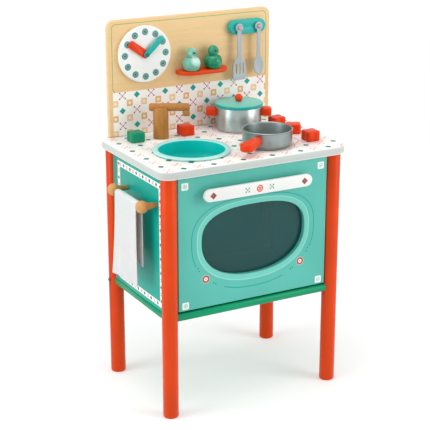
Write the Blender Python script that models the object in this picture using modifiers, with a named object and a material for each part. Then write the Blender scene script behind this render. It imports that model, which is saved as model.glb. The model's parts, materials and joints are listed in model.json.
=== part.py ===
"""A child's play kitchen: a hob and sink worktop on four dowel legs, over an oven with a drop-down door,
with a splashback that carries a clock, a shelf and a utensil rack.

Metres, +Z up, and the front faces -Y. The origin is on the floor under the middle of everything, the handle
and the towel rail included. Places below are measured from the middle of the worktop."""

import math

import bmesh
import bpy

# Gaps: between pieces that only touch, and round pieces that turn
SEAT_GAP = 0.0003
RUNNING_GAP = 0.0005
CUT_OVERRUN = 0.002
MERGE_DISTANCE = 0.00002

# Worktop
WORKTOP_WIDTH = 0.400
WORKTOP_DEPTH = 0.280
WORKTOP_THICKNESS = 0.017
WORKTOP_UNDERSIDE_HEIGHT = 0.475
WORKTOP_CORNER_RADIUS = 0.024
WORKTOP_EDGE_ROUNDING = 0.003

# What the sink, pot, pan, tap and knobs leave free of the worktop is shared out round them
SINK_LEFT_SHARE = 0.357
SINK_FRONT_SHARE = 0.325
TAP_BACK_SHARE = 0.44
POT_TO_KNOB_SHARE = 0.089
HOB_KNOB_RIGHT_SHARE = 0.226
PAN_FRONT_SHARE = 0.374

# Legs
LEG_RADIUS = 0.015
LEG_SIDE_INSET = 0.023
LEG_DEPTH_INSET = 0.0205
LEG_FOOT_ROUNDING = 0.003

# Base panel, notched round the legs
BASE_UNDERSIDE_HEIGHT = 0.194
BASE_THICKNESS = 0.015
BASE_REACH = 0.0085
BASE_NOSE_ROUNDING = 0.005

# Side and back panels, between the legs
PANEL_THICKNESS = 0.009
PANEL_REACH = 0.0075

# Leg bolts
BOLT_RADIUS = 0.0025
BOLT_HEAD_RADIUS = 0.004
BOLT_HEAD_HEIGHT = 0.002
BOLT_HEAD_SHARES = ((0, 1), (0.55, 0.9), (0.85, 0.55))
BOLT_BITE = 0.018

# Oven door
DOOR_THICKNESS = 0.012
DOOR_REACH = 0.0055
DOOR_SIDE_GAP = 0.001
DOOR_TOP_GAP = 0.0015
DOOR_BOTTOM_GAP = 0.003
DOOR_EDGE_ROUNDING = 0.001
PIVOT_ABOVE_DOOR_BOTTOM = 0.007
PIVOT_BEHIND_DOOR_FRONT = 0.0045
HINGE_PIN_RADIUS = 0.0025
HINGE_PIN_IN_DOOR = 0.014
HINGE_PIN_IN_LEG = 0.010

# Oven window, an oval that is squarer above its widest line than below it
WINDOW_WIDTH = 0.225
WINDOW_UPPER_HEIGHT = 0.062
WINDOW_LOWER_HEIGHT = 0.077
WINDOW_ABOVE_DOOR_BOTTOM = 0.128
WINDOW_UPPER_SQUARENESS = 2.7
WINDOW_LOWER_SQUARENESS = 2.25
WINDOW_STEPS = 56
PANE_OVERLAP = 0.009
PANE_THICKNESS = 0.0024

# Door handle bar
BAR_LENGTH = 0.232
BAR_HEIGHT = 0.024
BAR_THICKNESS = 0.009
BAR_STANDOFF = 0.011
BAR_BELOW_DOOR_TOP = 0.037
BAR_EDGE_ROUNDING = 0.0015
SPACER_RADIUS = 0.007
SPACER_FROM_BAR_END = 0.030

# Door catch
CATCH_WIDTH = 0.034
CATCH_DEPTH = 0.012
CATCH_HEIGHT = 0.013
CATCH_PLATE_HEIGHT = 0.010
CATCH_PLATE_THICKNESS = 0.0012

# Splashback
BOARD_WIDTH = 0.360
BOARD_HEIGHT = 0.228
BOARD_THICKNESS = 0.010
BOARD_FROM_BACK = 0.003
BOARD_CORNER_RADIUS = 0.015
BOARD_EDGE_ROUNDING = 0.0015
DOWEL_RADIUS = 0.003
DOWEL_LENGTH = 0.022
DOWEL_FROM_BOARD_EDGE = 0.042

# What the clock, shelf and rack leave free across the board is shared out on each side of them
CLOCK_SIDE_SHARE = 0.351
SHELF_GAP_SHARE = 0.245
RACK_SIDE_SHARE = 0.281

# What they leave free between the lid of the pot and the board's top is shared out above them
SHAKER_TOP_SHARE = 0.524
RACK_TOP_SHARE = 0.37

# Clock
CLOCK_RADIUS = 0.0555
CLOCK_THICKNESS = 0.009
CLOCK_EDGE_ROUNDING = 0.0015
CLOCK_FROM_BOARD_TOP = 0.013
CLOCK_PIN_RADIUS = 0.002
CLOCK_PIN_HEAD_RADIUS = 0.0042
CLOCK_PIN_HEAD_HEIGHT = 0.0026
CLOCK_PIN_HEAD_SHARES = ((0, 1), (0.5, 0.87), (0.87, 0.5), (1, 0))
HAND_THICKNESS = 0.0035
HOUR_HAND_LENGTH = 0.041
HOUR_HAND_WIDTH = 0.0155
HOUR_HAND_TAIL = 0.0045
HOUR_HAND_CORNER_RADIUS = 0.002
HOUR_HAND_ANGLE = math.radians(305)
MINUTE_HAND_LENGTH = 0.0485
MINUTE_HAND_WIDTH = 0.0105
MINUTE_HAND_ANGLE = math.radians(47)

# Shelf with its two shakers
SHELF_WIDTH = 0.109
SHELF_DEPTH = 0.033
SHELF_THICKNESS = 0.008
SHELF_CORNER_RADIUS = 0.026
SHELF_EDGE_ROUNDING = 0.001
SHAKER_RADIUS = 0.0184
SHAKER_HEAD_RADIUS = 0.0114
SHAKER_FOOT_RADIUS = 0.012
SHAKER_BODY_HEIGHT = 0.0297
SHAKER_BELLY_HEIGHT = 0.0146
SHAKER_LOWER_SHARES = ((0.95, 0.52), (0.82, 0.18))
SHAKER_HEIGHT = 0.0455
SHAKER_SPACING = 0.048
SHAKERS_LEFT_OF_SHELF = 0.0045
SHAKER_FROM_BOARD = 0.0008

# Utensil rack, its pegs and the two utensils
RACK_LENGTH = 0.083
RACK_HEIGHT = 0.0285
RACK_THICKNESS = 0.012
RACK_EDGE_ROUNDING = 0.0015
PEG_RADIUS = 0.0035
PEG_STANDOUT = 0.014
PEG_SPACING = 0.0445
PEG_END_ROUNDING = 0.0015
UTENSIL_THICKNESS = 0.003
UTENSIL_FROM_RACK = 0.003
UTENSIL_EYE_RADIUS = 0.0085
UTENSIL_EDGE_ROUNDING = 0.0006
TURNER_LENGTH = 0.105
TURNER_HANDLE_WIDTH = 0.0095
TURNER_BLADE_LENGTH = 0.050
TURNER_BLADE_WIDTH = 0.030
TURNER_BLADE_SHARES = ((0.44, 0.10), (0.80, 0.26), (0.96, 0.40), (1, 0.58), (0.98, 0.92), (0.90, 1))
TURNER_SLOT_WIDTH = 0.0034
TURNER_SLOT_LENGTH = 0.021
TURNER_SLOT_COUNT = 3
SPOON_LENGTH = 0.099
SPOON_HANDLE_WIDTH = 0.008
SPOON_BOWL_LENGTH = 0.040
SPOON_BOWL_WIDTH = 0.0235
SPOON_BOWL_STEPS = 9
SPOON_DISH_DEPTH = 0.0014

# Tap
TAP_LEFT_OF_SINK = 0.008
TAP_POST_RADIUS = 0.015
TAP_POST_ROUNDING = 0.003
TAP_ARM_RADIUS = 0.00775
TAP_ARM_ABOVE_WORKTOP = 0.0614
TAP_ARM_BACK_REACH = 0.023
TAP_ARM_ROUNDING = 0.004
TAP_SPOUT_REACH = 0.0495
TAP_SPOUT_RADIUS = 0.007
TAP_SPOUT_DROP = 0.017
TAP_SPOUT_BORE_RADIUS = 0.0032
TAP_SPOUT_BORE_DEPTH = 0.007
TAP_SPIGOT_RADIUS = 0.006
TAP_ANGLE = math.radians(-27)

# Four-lobed knobs: two beside the tap and three in a row beside the hob
KNOB_LOBES = 4
KNOB_STEPS = 40
KNOB_LOBE_RADIUS = 0.0182
KNOB_WAIST_RADIUS = 0.013
KNOB_HEIGHT = 0.019
KNOB_EDGE_ROUNDING = 0.0015
TAP_KNOB_SPACING = 0.054
HOB_KNOB_FROM_FRONT = 0.067
HOB_KNOB_PITCH = 0.063
HOB_KNOB_TURNS = (0, math.radians(-28), 0)
SPINDLE_RADIUS = 0.003
SPINDLE_IN_KNOB = 0.011
SPINDLE_HEAD_RADIUS = 0.0065
SPINDLE_HEAD_HEIGHT = 0.0025

# Sink bowl
SINK_OPENING_RADIUS = 0.063
SINK_RIM_WIDTH = 0.0115
SINK_RIM_HEIGHT = 0.005
SINK_WALL = 0.0022
SINK_DEPTH = 0.046
SINK_BOTTOM_RADIUS = 0.040
SINK_HOLE_CLEARANCE = 0.0010

# Pot and its lid
POT_FROM_BOARD = 0.0055
POT_RADIUS = 0.0455
POT_HEIGHT = 0.047
POT_WALL = 0.0018
POT_BASE_ROUNDING = 0.003
POT_TURN = math.radians(-28)
EAR_REACH = 0.020
EAR_WIDTH = 0.025
EAR_HEIGHT = 0.015
EAR_BELOW_POT_RIM = 0.012
EAR_CORNER_RADIUS = 0.006
EAR_EDGE_ROUNDING = 0.0015
LID_OVERHANG = 0.003
LID_THICKNESS = 0.0065
LID_CROWN = 0.0015
LID_SLOPE_SHARE = 0.6
LID_EDGE_ROUNDING = 0.0015
LID_SPIGOT_DEPTH = 0.003
LID_SPIGOT_CLEARANCE = 0.0008
LID_KNOB_RADIUS = 0.008
LID_KNOB_FOOT_RADIUS = 0.0045

# Pan
PAN_LEFT_OF_POT = 0.015
PAN_RADIUS = 0.0478
PAN_HEIGHT = 0.034
PAN_WALL = 0.0018
PAN_BASE_ROUNDING = 0.008
PAN_RIM_BEAD = 0.0014
PAN_HANDLE_ANGLE = math.radians(217)
PAN_HANDLE_LENGTH = 0.063
PAN_HANDLE_THICKNESS = 0.0150
PAN_HANDLE_ROOT_WIDTH = 0.016
PAN_HANDLE_END_WIDTH = 0.027
PAN_HANDLE_ROUNDING = 0.003
PAN_HANDLE_ABOVE_WORKTOP = 0.0195

# Towel rail on the left side
RAIL_FROM_PANEL = 0.0295
RAIL_BELOW_WORKTOP = 0.059
RAIL_FROM_PANEL_FRONT = 0.0202
RAIL_FROM_PANEL_BACK = 0.0652
RAIL_ROD_RADIUS = 0.005
RAIL_ROD_IN_BALL = 0.007
RAIL_BALL_RADIUS = 0.012
RAIL_STEM_FOOT_RADIUS = 0.0045
RAIL_STEM_NECK_RADIUS = 0.007

# Towel, hung over the rod
TOWEL_FROM_FRONT_BALL = 0.0125
TOWEL_FROM_BACK_BALL = 0.020
TOWEL_CLOTH_THICKNESS = 0.0022
TOWEL_FRONT_DROP = 0.159
TOWEL_BACK_DROP = 0.122
TOWEL_FLARE = 0.002
TOWEL_FOLD_DEPTH = 0.0015
TOWEL_FOLD_COUNT = 1.5
TOWEL_FOLD_START = math.radians(34)
TOWEL_BULGE_SHARE = 0.4
TOWEL_LEAN = 0.002
TOWEL_COLUMNS = 12
TOWEL_OUTER_ROWS = 9
TOWEL_INNER_ROWS = 8

# Facets of round pieces
ROUND_STEPS = 32
SMALL_ROUND_STEPS = 16
TURN_STEPS = 36

# Places that follow from the sizes above
leg_x = WORKTOP_WIDTH / 2 - LEG_SIDE_INSET
leg_y = WORKTOP_DEPTH / 2 - LEG_DEPTH_INSET
worktop_top = WORKTOP_UNDERSIDE_HEIGHT + WORKTOP_THICKNESS
base_top = BASE_UNDERSIDE_HEIGHT + BASE_THICKNESS
door_width = 2 * (leg_x - LEG_RADIUS - DOOR_SIDE_GAP)
door_bottom = base_top + DOOR_BOTTOM_GAP
door_height = WORKTOP_UNDERSIDE_HEIGHT - DOOR_TOP_GAP - door_bottom
door_front = -leg_y - DOOR_REACH
door_back = door_front + DOOR_THICKNESS
pivot_y = door_front + PIVOT_BEHIND_DOOR_FRONT
pivot_z = door_bottom + PIVOT_ABOVE_DOOR_BOTTOM
board_front = WORKTOP_DEPTH / 2 - BOARD_FROM_BACK - BOARD_THICKNESS
board_top = worktop_top + SEAT_GAP + BOARD_HEIGHT
sink_body_radius = SINK_OPENING_RADIUS + SINK_WALL
sink_hole_radius = sink_body_radius + SINK_HOLE_CLEARANCE
sink_rim_radius = SINK_OPENING_RADIUS + SINK_RIM_WIDTH
lid_radius = POT_RADIUS + LID_OVERHANG
pan_reach = PAN_RADIUS + PAN_RIM_BEAD

# Across the worktop: the sink from its left, then the knobs and the pot from its right
free_width = WORKTOP_WIDTH - 2 * (sink_rim_radius + lid_radius + KNOB_LOBE_RADIUS)
sink_x = SINK_LEFT_SHARE * free_width + sink_rim_radius - WORKTOP_WIDTH / 2
tap_x = sink_x - TAP_LEFT_OF_SINK
hob_knob_x = WORKTOP_WIDTH / 2 - HOB_KNOB_RIGHT_SHARE * free_width - KNOB_LOBE_RADIUS
pot_x = hob_knob_x - KNOB_LOBE_RADIUS - POT_TO_KNOB_SHARE * free_width - lid_radius
pan_x = pot_x - PAN_LEFT_OF_POT

# From the worktop's front to its back
free_sink_depth = WORKTOP_DEPTH - 2 * (sink_rim_radius + TAP_POST_RADIUS)
sink_y = SINK_FRONT_SHARE * free_sink_depth + sink_rim_radius - WORKTOP_DEPTH / 2
tap_y = WORKTOP_DEPTH / 2 - TAP_POST_RADIUS - TAP_BACK_SHARE * free_sink_depth
free_hob_depth = board_front + WORKTOP_DEPTH / 2 - 2 * (lid_radius + pan_reach)
pot_y = board_front - POT_FROM_BOARD - lid_radius
pan_y = PAN_FRONT_SHARE * free_hob_depth + pan_reach - WORKTOP_DEPTH / 2
hob_knob_y = HOB_KNOB_FROM_FRONT - WORKTOP_DEPTH / 2

# Across the board and down it
free_board_width = BOARD_WIDTH - 2 * CLOCK_RADIUS - SHELF_WIDTH - RACK_LENGTH
clock_x = CLOCK_SIDE_SHARE * free_board_width + CLOCK_RADIUS - BOARD_WIDTH / 2
shelf_x = clock_x + CLOCK_RADIUS + SHELF_GAP_SHARE * free_board_width + SHELF_WIDTH / 2
rack_x = BOARD_WIDTH / 2 - RACK_SIDE_SHARE * free_board_width - RACK_LENGTH / 2
lid_top = worktop_top + 2 * SEAT_GAP + POT_HEIGHT + LID_THICKNESS + LID_CROWN
free_shelf_height = board_top - lid_top - SHELF_THICKNESS - SHAKER_HEIGHT
shelf_top = board_top - SHAKER_TOP_SHARE * free_shelf_height - SHAKER_HEIGHT - SEAT_GAP
free_rack_height = board_top - lid_top - RACK_HEIGHT / 2 - TURNER_LENGTH
rack_z = board_top - RACK_TOP_SHARE * free_rack_height - RACK_HEIGHT / 2
clock_z = board_top - CLOCK_FROM_BOARD_TOP - CLOCK_RADIUS
clock_front = board_front - SEAT_GAP - CLOCK_THICKNESS
rack_front = board_front - SEAT_GAP - RACK_THICKNESS

# The rail on the left side panel, and the towel between its posts
panel_face_x = leg_x + PANEL_REACH
panel_half_depth = leg_y - LEG_RADIUS - SEAT_GAP
rail_x = -panel_face_x - RAIL_FROM_PANEL
rail_z = WORKTOP_UNDERSIDE_HEIGHT - RAIL_BELOW_WORKTOP
rail_front_y = RAIL_FROM_PANEL_FRONT - panel_half_depth
rail_back_y = panel_half_depth - RAIL_FROM_PANEL_BACK
towel_width = rail_back_y - rail_front_y - TOWEL_FROM_FRONT_BALL - TOWEL_FROM_BACK_BALL

# Holes, pegs and knobs, and the middle of the unit's whole width and depth
spindle_hole_radius = SPINDLE_RADIUS + RUNNING_GAP
peg_places = (rack_x - PEG_SPACING / 2, rack_x + PEG_SPACING / 2)
middle_x = (WORKTOP_WIDTH / 2 + rail_x - RAIL_BALL_RADIUS) / 2
middle_y = (WORKTOP_DEPTH / 2 + door_front - BAR_STANDOFF - BAR_THICKNESS) / 2
tap_knob_places = ((tap_x - TAP_KNOB_SPACING, tap_y), (tap_x + TAP_KNOB_SPACING, tap_y))
hob_knob_places = tuple((hob_knob_x, hob_knob_y + step * HOB_KNOB_PITCH) for step in range(3))


def clear_scene():
    for obj in list(bpy.data.objects):
        bpy.data.objects.remove(obj)


def new_collection(name):
    collection = bpy.data.collections.new(name)
    bpy.context.scene.collection.children.link(collection)
    return collection


clear_scene()
PARTS = new_collection("play_kitchen")
CUTTERS = new_collection("cutters")


def srgb(red, green, blue):
    """A colour read as 0 to 255 on a screen, as linear light."""
    shares = [value / 255 for value in (red, green, blue)]
    return tuple(s / 12.92 if s <= 0.04045 else ((s + 0.055) / 1.055) ** 2.4 for s in shares)


# Finish: colour, roughness, metallic
WHITE_PAINT = (srgb(243, 243, 240), 0.40, 0.0)
ORANGE_PAINT = (srgb(228, 78, 30), 0.45, 0.0)
RED_PAINT = (srgb(222, 62, 30), 0.40, 0.0)
TEAL_PAINT = (srgb(60, 185, 168), 0.45, 0.0)
DOOR_PAINT = (srgb(108, 198, 184), 0.45, 0.0)
GREEN_PAINT = (srgb(12, 160, 116), 0.42, 0.0)
MINT_PAINT = (srgb(158, 216, 200), 0.40, 0.0)
PALE_WOOD = (srgb(236, 206, 156), 0.55, 0.0)
HONEY_WOOD = (srgb(198, 138, 70), 0.50, 0.0)
SINK_PLASTIC = (srgb(20, 172, 164), 0.35, 0.0)
DARK_PANE = (srgb(52, 96, 96), 0.12, 0.0)
BRUSHED_METAL = (srgb(176, 182, 182), 0.35, 1.0)
GREY_PAINT = (srgb(178, 186, 190), 0.45, 0.0)
DARK_STEEL = (srgb(60, 60, 62), 0.35, 1.0)
WHITE_CLOTH = (srgb(238, 238, 238), 0.90, 0.0)


def paint(obj, finish):
    colour, roughness, metallic = finish
    material = bpy.data.materials.new(obj.name + "_finish")
    material.use_nodes = True
    shader = material.node_tree.nodes["Principled BSDF"]
    shader.inputs["Base Color"].default_value = (*colour, 1)
    shader.inputs["Roughness"].default_value = roughness
    shader.inputs["Metallic"].default_value = metallic
    material.diffuse_color = (*colour, 1)
    obj.data.materials.clear()
    obj.data.materials.append(material)


def new_empty(name, location, turn=0.0):
    empty = bpy.data.objects.new(name, None)
    empty.location = location
    empty.rotation_euler = (0, 0, turn)
    PARTS.objects.link(empty)
    return empty


UNIT = new_empty("worktop_middle", (-middle_x, -middle_y, 0))


def pivot(name, location, turn=0.0):
    """An empty on a joint's axis, which carries the pieces that move there."""
    empty = new_empty(name, location, turn)
    empty.parent = UNIT
    return empty


def add_piece(name, mesh, location, finish, parent=UNIT, rotation=(0, 0, 0)):
    """A visible piece, with its location in its parent's frame."""
    obj = bpy.data.objects.new(name, mesh)
    obj.location = location
    obj.rotation_euler = rotation
    obj.parent = parent
    PARTS.objects.link(obj)
    paint(obj, finish)
    smooth(obj)
    return obj


def smooth(obj):
    obj.data.shade_smooth()
    obj.data.set_sharp_from_angle(angle=math.radians(40))


def cut(obj, name, mesh, location, rotation=(0, 0, 0)):
    """Takes a hidden shape out of a piece. The cutter shares the piece's parent."""
    cutter = bpy.data.objects.new(name, mesh)
    cutter.location = location
    cutter.rotation_euler = rotation
    cutter.parent = obj.parent
    cutter.hide_render = True
    cutter.display_type = "WIRE"
    CUTTERS.objects.link(cutter)
    modifier = obj.modifiers.new(name, "BOOLEAN")
    modifier.operation = "DIFFERENCE"
    modifier.solver = "EXACT"
    modifier.object = cutter


def finished_mesh(name, bm):
    bmesh.ops.recalc_face_normals(bm, faces=bm.faces)
    mesh = bpy.data.meshes.new(name)
    bm.to_mesh(mesh)
    bm.free()
    return mesh


def round_edges(bm, edges, radius, segments):
    bmesh.ops.bevel(
        bm, geom=edges, offset=radius, segments=segments, profile=0.5, affect="EDGES", clamp_overlap=True
    )


def upright(edge):
    direction = edge.verts[1].co - edge.verts[0].co
    return abs(direction.z) > direction.xy.length


def block(name, size, corner_radius=0.0, rounding=0.0, corner_segments=5, rounding_segments=1):
    """A box about its own middle: upright edges rounded first, then the edges of its top and bottom."""
    bm = bmesh.new()
    bmesh.ops.create_cube(bm, size=1)
    bmesh.ops.scale(bm, vec=size, verts=bm.verts)
    if corner_radius:
        round_edges(bm, [e for e in bm.edges if upright(e)], corner_radius, corner_segments)
    if rounding:
        flat = [e for e in bm.edges if abs(e.verts[0].co.z - e.verts[1].co.z) < size[2] / 2 and e.is_manifold]
        rim = [e for e in flat if e.calc_face_angle() > math.radians(45)]
        round_edges(bm, rim, rounding, rounding_segments)
    return finished_mesh(name, bm)


def dowel(name, radius, length, rounding=0.0, steps=ROUND_STEPS, segments=2, rounded="both"):
    """A round bar that stands on z = 0, with its top end, its foot or both of them rounded."""
    bm = bmesh.new()
    bmesh.ops.create_cone(
        bm, cap_ends=True, cap_tris=False, segments=steps, radius1=radius, radius2=radius, depth=length
    )
    bmesh.ops.translate(bm, vec=(0, 0, length / 2), verts=bm.verts)
    if rounding:
        rims = [e for e in bm.edges if not upright(e)]
        if rounded != "both":
            rims = [e for e in rims if (e.verts[0].co.z > length / 2) == (rounded == "top")]
        round_edges(bm, rims, rounding, segments)
    return finished_mesh(name, bm)


def rod(name, radius, length):
    """A thin round bar that stands on z = 0, for pins and the holes they fit."""
    return dowel(name, radius, length, steps=SMALL_ROUND_STEPS)


def turned(name, profile, location, finish, parent=UNIT, rotation=(0, 0, 0), steps=TURN_STEPS):
    """A turned piece from a profile of (radius, height) points that ends down its outer side."""
    bm = bmesh.new()
    points = [bm.verts.new((radius, 0, height)) for radius, height in profile]
    for start, end in zip(points, points[1:]):
        bm.edges.new((start, end))
    mesh = bpy.data.meshes.new(name)
    bm.to_mesh(mesh)
    bm.free()
    obj = add_piece(name, mesh, location, finish, parent, rotation)
    screw = obj.modifiers.new("turn", "SCREW")
    screw.axis = "Z"
    screw.steps = steps
    screw.render_steps = steps
    screw.use_merge_vertices = True
    screw.merge_threshold = MERGE_DISTANCE
    screw.use_smooth_shade = True
    return obj


def arc(centre, radius, start, end, steps):
    """Points round part of a circle, both ends included. Angles in degrees."""
    angles = [math.radians(start + (end - start) * step / steps) for step in range(steps + 1)]
    return [(centre[0] + radius * math.cos(a), centre[1] + radius * math.sin(a)) for a in angles]


def stadium(length, height, steps=8):
    """A bar with half-round ends."""
    radius = height / 2
    reach = length / 2 - radius
    return arc((reach, 0), radius, -90, 90, steps) + arc((-reach, 0), radius, 90, 270, steps)


def window_outline(margin=0.0):
    """The window's outline about the middle of its widest line, with an even margin round it."""
    points = []
    for step in range(WINDOW_STEPS):
        angle = 2 * math.pi * (step + 0.5) / WINDOW_STEPS
        across, up = math.cos(angle), math.sin(angle)
        height = WINDOW_UPPER_HEIGHT if up > 0 else WINDOW_LOWER_HEIGHT
        power = 2 / (WINDOW_UPPER_SQUARENESS if up > 0 else WINDOW_LOWER_SQUARENESS)
        x = math.copysign(abs(across) ** power, across) * (WINDOW_WIDTH / 2 + margin)
        y = math.copysign(abs(up) ** power, up) * (height + margin)
        points.append((x, y))
    return points


def plate(name, outline, thickness, rounding=0.0, rounding_segments=0, lift=0.0):
    """A flat outline with thickness, its lower face at the given lift and its rim rounded."""
    curve = bpy.data.curves.new(name, "CURVE")
    curve.dimensions = "2D"
    curve.fill_mode = "BOTH"
    curve.extrude = thickness / 2 - rounding
    curve.bevel_depth = rounding
    curve.bevel_resolution = rounding_segments
    curve.offset = -rounding
    spline = curve.splines.new("POLY")
    spline.points.add(len(outline) - 1)
    for point, (x, y) in zip(spline.points, outline):
        point.co = (x, y, 0, 1)
    spline.use_cyclic_u = True
    holder = bpy.data.objects.new(name, curve)
    CUTTERS.objects.link(holder)
    graph = bpy.context.evaluated_depsgraph_get()
    mesh = bpy.data.meshes.new_from_object(holder.evaluated_get(graph))
    bpy.data.objects.remove(holder)
    bm = bmesh.new()
    bm.from_mesh(mesh)
    bpy.data.meshes.remove(mesh)
    bmesh.ops.remove_doubles(bm, verts=bm.verts, dist=MERGE_DISTANCE)
    bmesh.ops.translate(bm, vec=(0, 0, lift + thickness / 2), verts=bm.verts)
    return finished_mesh(name, bm)


# Turns that stand a flat plate up with its face to the front, and lay a dowel along an axis
FACE_FRONT = (math.radians(90), 0, 0)
ALONG_X = (0, math.radians(90), 0)
ALONG_MINUS_X = (0, math.radians(-90), 0)
ALONG_Y = (math.radians(-90), 0, 0)


def make_worktop():
    mesh = block(
        "worktop",
        (WORKTOP_WIDTH, WORKTOP_DEPTH, WORKTOP_THICKNESS),
        WORKTOP_CORNER_RADIUS,
        WORKTOP_EDGE_ROUNDING,
        rounding_segments=2,
    )
    top = add_piece("worktop", mesh, (0, 0, worktop_top - WORKTOP_THICKNESS / 2), WHITE_PAINT)
    low = WORKTOP_UNDERSIDE_HEIGHT - CUT_OVERRUN
    through = WORKTOP_THICKNESS + 2 * CUT_OVERRUN
    sink_hole = dowel("sink_hole", sink_hole_radius, through, steps=TURN_STEPS)
    cut(top, "sink_hole", sink_hole, (sink_x, sink_y, low))
    tap_hole = rod("tap_hole", TAP_SPIGOT_RADIUS + RUNNING_GAP, through)
    cut(top, "tap_hole", tap_hole, (tap_x, tap_y, low))
    for number, (x, y) in enumerate(tap_knob_places + hob_knob_places):
        hole = rod("spindle_hole", spindle_hole_radius, through)
        cut(top, f"spindle_hole_{number}", hole, (x, y, low))
    for side, x in board_dowel_places():
        depth = DOWEL_LENGTH / 2 + SEAT_GAP
        hole = rod("dowel_hole", DOWEL_RADIUS + SEAT_GAP, depth + CUT_OVERRUN)
        cut(top, f"dowel_hole_{side}", hole, (x, board_front + BOARD_THICKNESS / 2, worktop_top - depth))


def board_dowel_places():
    reach = BOARD_WIDTH / 2 - DOWEL_FROM_BOARD_EDGE
    return (("left", -reach), ("right", reach))


def leg_places():
    return (
        ("front_left", -leg_x, -leg_y),
        ("front_right", leg_x, -leg_y),
        ("back_left", -leg_x, leg_y),
        ("back_right", leg_x, leg_y),
    )


def make_legs():
    for place, x, y in leg_places():
        length = WORKTOP_UNDERSIDE_HEIGHT - SEAT_GAP
        mesh = dowel("leg", LEG_RADIUS, length, LEG_FOOT_ROUNDING, rounded="foot")
        leg = add_piece("leg_" + place, mesh, (x, y, 0), ORANGE_PAINT)
        if place.startswith("front"):
            cut_hinge_hole(leg, x)
        else:
            cut_bolt_hole(leg, x)


def cut_hinge_hole(leg, x):
    length = HINGE_PIN_IN_LEG + RUNNING_GAP + LEG_RADIUS
    hole = rod("hinge_hole", HINGE_PIN_RADIUS + RUNNING_GAP, length)
    inner_end = math.copysign(leg_x - LEG_RADIUS + HINGE_PIN_IN_LEG + RUNNING_GAP, x)
    rotation = ALONG_X if x < 0 else ALONG_MINUS_X
    cut(leg, leg.name + "_hinge_hole", hole, (inner_end, pivot_y, pivot_z), rotation)


def cut_bolt_hole(leg, x):
    length = 2 * LEG_RADIUS + 2 * CUT_OVERRUN
    hole = rod("bolt_hole", BOLT_RADIUS + SEAT_GAP, length)
    start = (x - length / 2, leg_y, BASE_UNDERSIDE_HEIGHT + BASE_THICKNESS / 2)
    cut(leg, leg.name + "_bolt_hole", hole, start, ALONG_X)


def make_base():
    size = (2 * (leg_x + BASE_REACH), 2 * (leg_y + BASE_REACH), BASE_THICKNESS)
    mesh = block("base", size, rounding=BASE_NOSE_ROUNDING, rounding_segments=3)
    base = add_piece("base_panel", mesh, (0, 0, base_top - BASE_THICKNESS / 2), GREEN_PAINT)
    for place, x, y in leg_places():
        notch = dowel("notch", LEG_RADIUS + SEAT_GAP, BASE_THICKNESS + 2 * CUT_OVERRUN)
        cut(base, "notch_" + place, notch, (x, y, BASE_UNDERSIDE_HEIGHT - CUT_OVERRUN))
        if place.startswith("back"):
            cut_bolt_socket(base, place, x)


def cut_bolt_socket(base, place, x):
    length = LEG_RADIUS + BOLT_BITE + SEAT_GAP
    socket = rod("bolt_socket", BOLT_RADIUS + SEAT_GAP, length)
    start = (x, leg_y, BASE_UNDERSIDE_HEIGHT + BASE_THICKNESS / 2)
    cut(base, "bolt_socket_" + place, socket, start, ALONG_X if x < 0 else ALONG_MINUS_X)


def make_leg_bolts():
    """A button-headed bolt through each back leg into the edge of the base panel."""
    shank_end = -(2 * LEG_RADIUS + BOLT_BITE)
    dome = [(BOLT_HEAD_RADIUS * share, BOLT_HEAD_HEIGHT * rise) for share, rise in BOLT_HEAD_SHARES]
    profile = [(r, z + SEAT_GAP) for r, z in dome] + [
        (BOLT_HEAD_RADIUS, SEAT_GAP),
        (BOLT_RADIUS, SEAT_GAP),
        (BOLT_RADIUS, shank_end),
        (0, shank_end),
    ]
    z = BASE_UNDERSIDE_HEIGHT + BASE_THICKNESS / 2
    for side, sign, rotation in (("left", -1, ALONG_MINUS_X), ("right", 1, ALONG_X)):
        place = (sign * (leg_x + LEG_RADIUS), leg_y, z)
        turned("leg_bolt_" + side, profile, place, DARK_STEEL, rotation=rotation, steps=SMALL_ROUND_STEPS)


def make_side_panels():
    height = WORKTOP_UNDERSIDE_HEIGHT - base_top - 2 * SEAT_GAP
    for side, sign in (("left", -1), ("right", 1)):
        mesh = block("side_panel", (PANEL_THICKNESS, 2 * panel_half_depth, height))
        place = (sign * (panel_face_x - PANEL_THICKNESS / 2), 0, base_top + SEAT_GAP + height / 2)
        add_piece("side_panel_" + side, mesh, place, TEAL_PAINT)


def make_back_panel():
    height = WORKTOP_UNDERSIDE_HEIGHT - base_top - 2 * SEAT_GAP
    width = 2 * (leg_x - LEG_RADIUS - SEAT_GAP)
    mesh = block("back_panel", (width, PANEL_THICKNESS, height))
    y = leg_y + PANEL_REACH - PANEL_THICKNESS / 2
    add_piece("back_panel", mesh, (0, y, base_top + SEAT_GAP + height / 2), TEAL_PAINT)


def make_door():
    """The door, its pane, handle and pins, all on an empty that lies on the hinge line."""
    hinge = pivot("door_hinge_axis", (0, pivot_y, pivot_z))
    make_door_panel(hinge)
    make_window_pane(hinge)
    make_door_handle(hinge)
    make_hinge_pins(hinge)
    plate_mesh = block("catch_plate", (CATCH_WIDTH, CATCH_PLATE_THICKNESS, CATCH_PLATE_HEIGHT))
    y = door_back + SEAT_GAP + CATCH_PLATE_THICKNESS / 2
    z = door_bottom + door_height - CATCH_PLATE_HEIGHT
    add_piece("door_catch_plate", plate_mesh, (0, y - pivot_y, z - pivot_z), DARK_STEEL, hinge)


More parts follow.
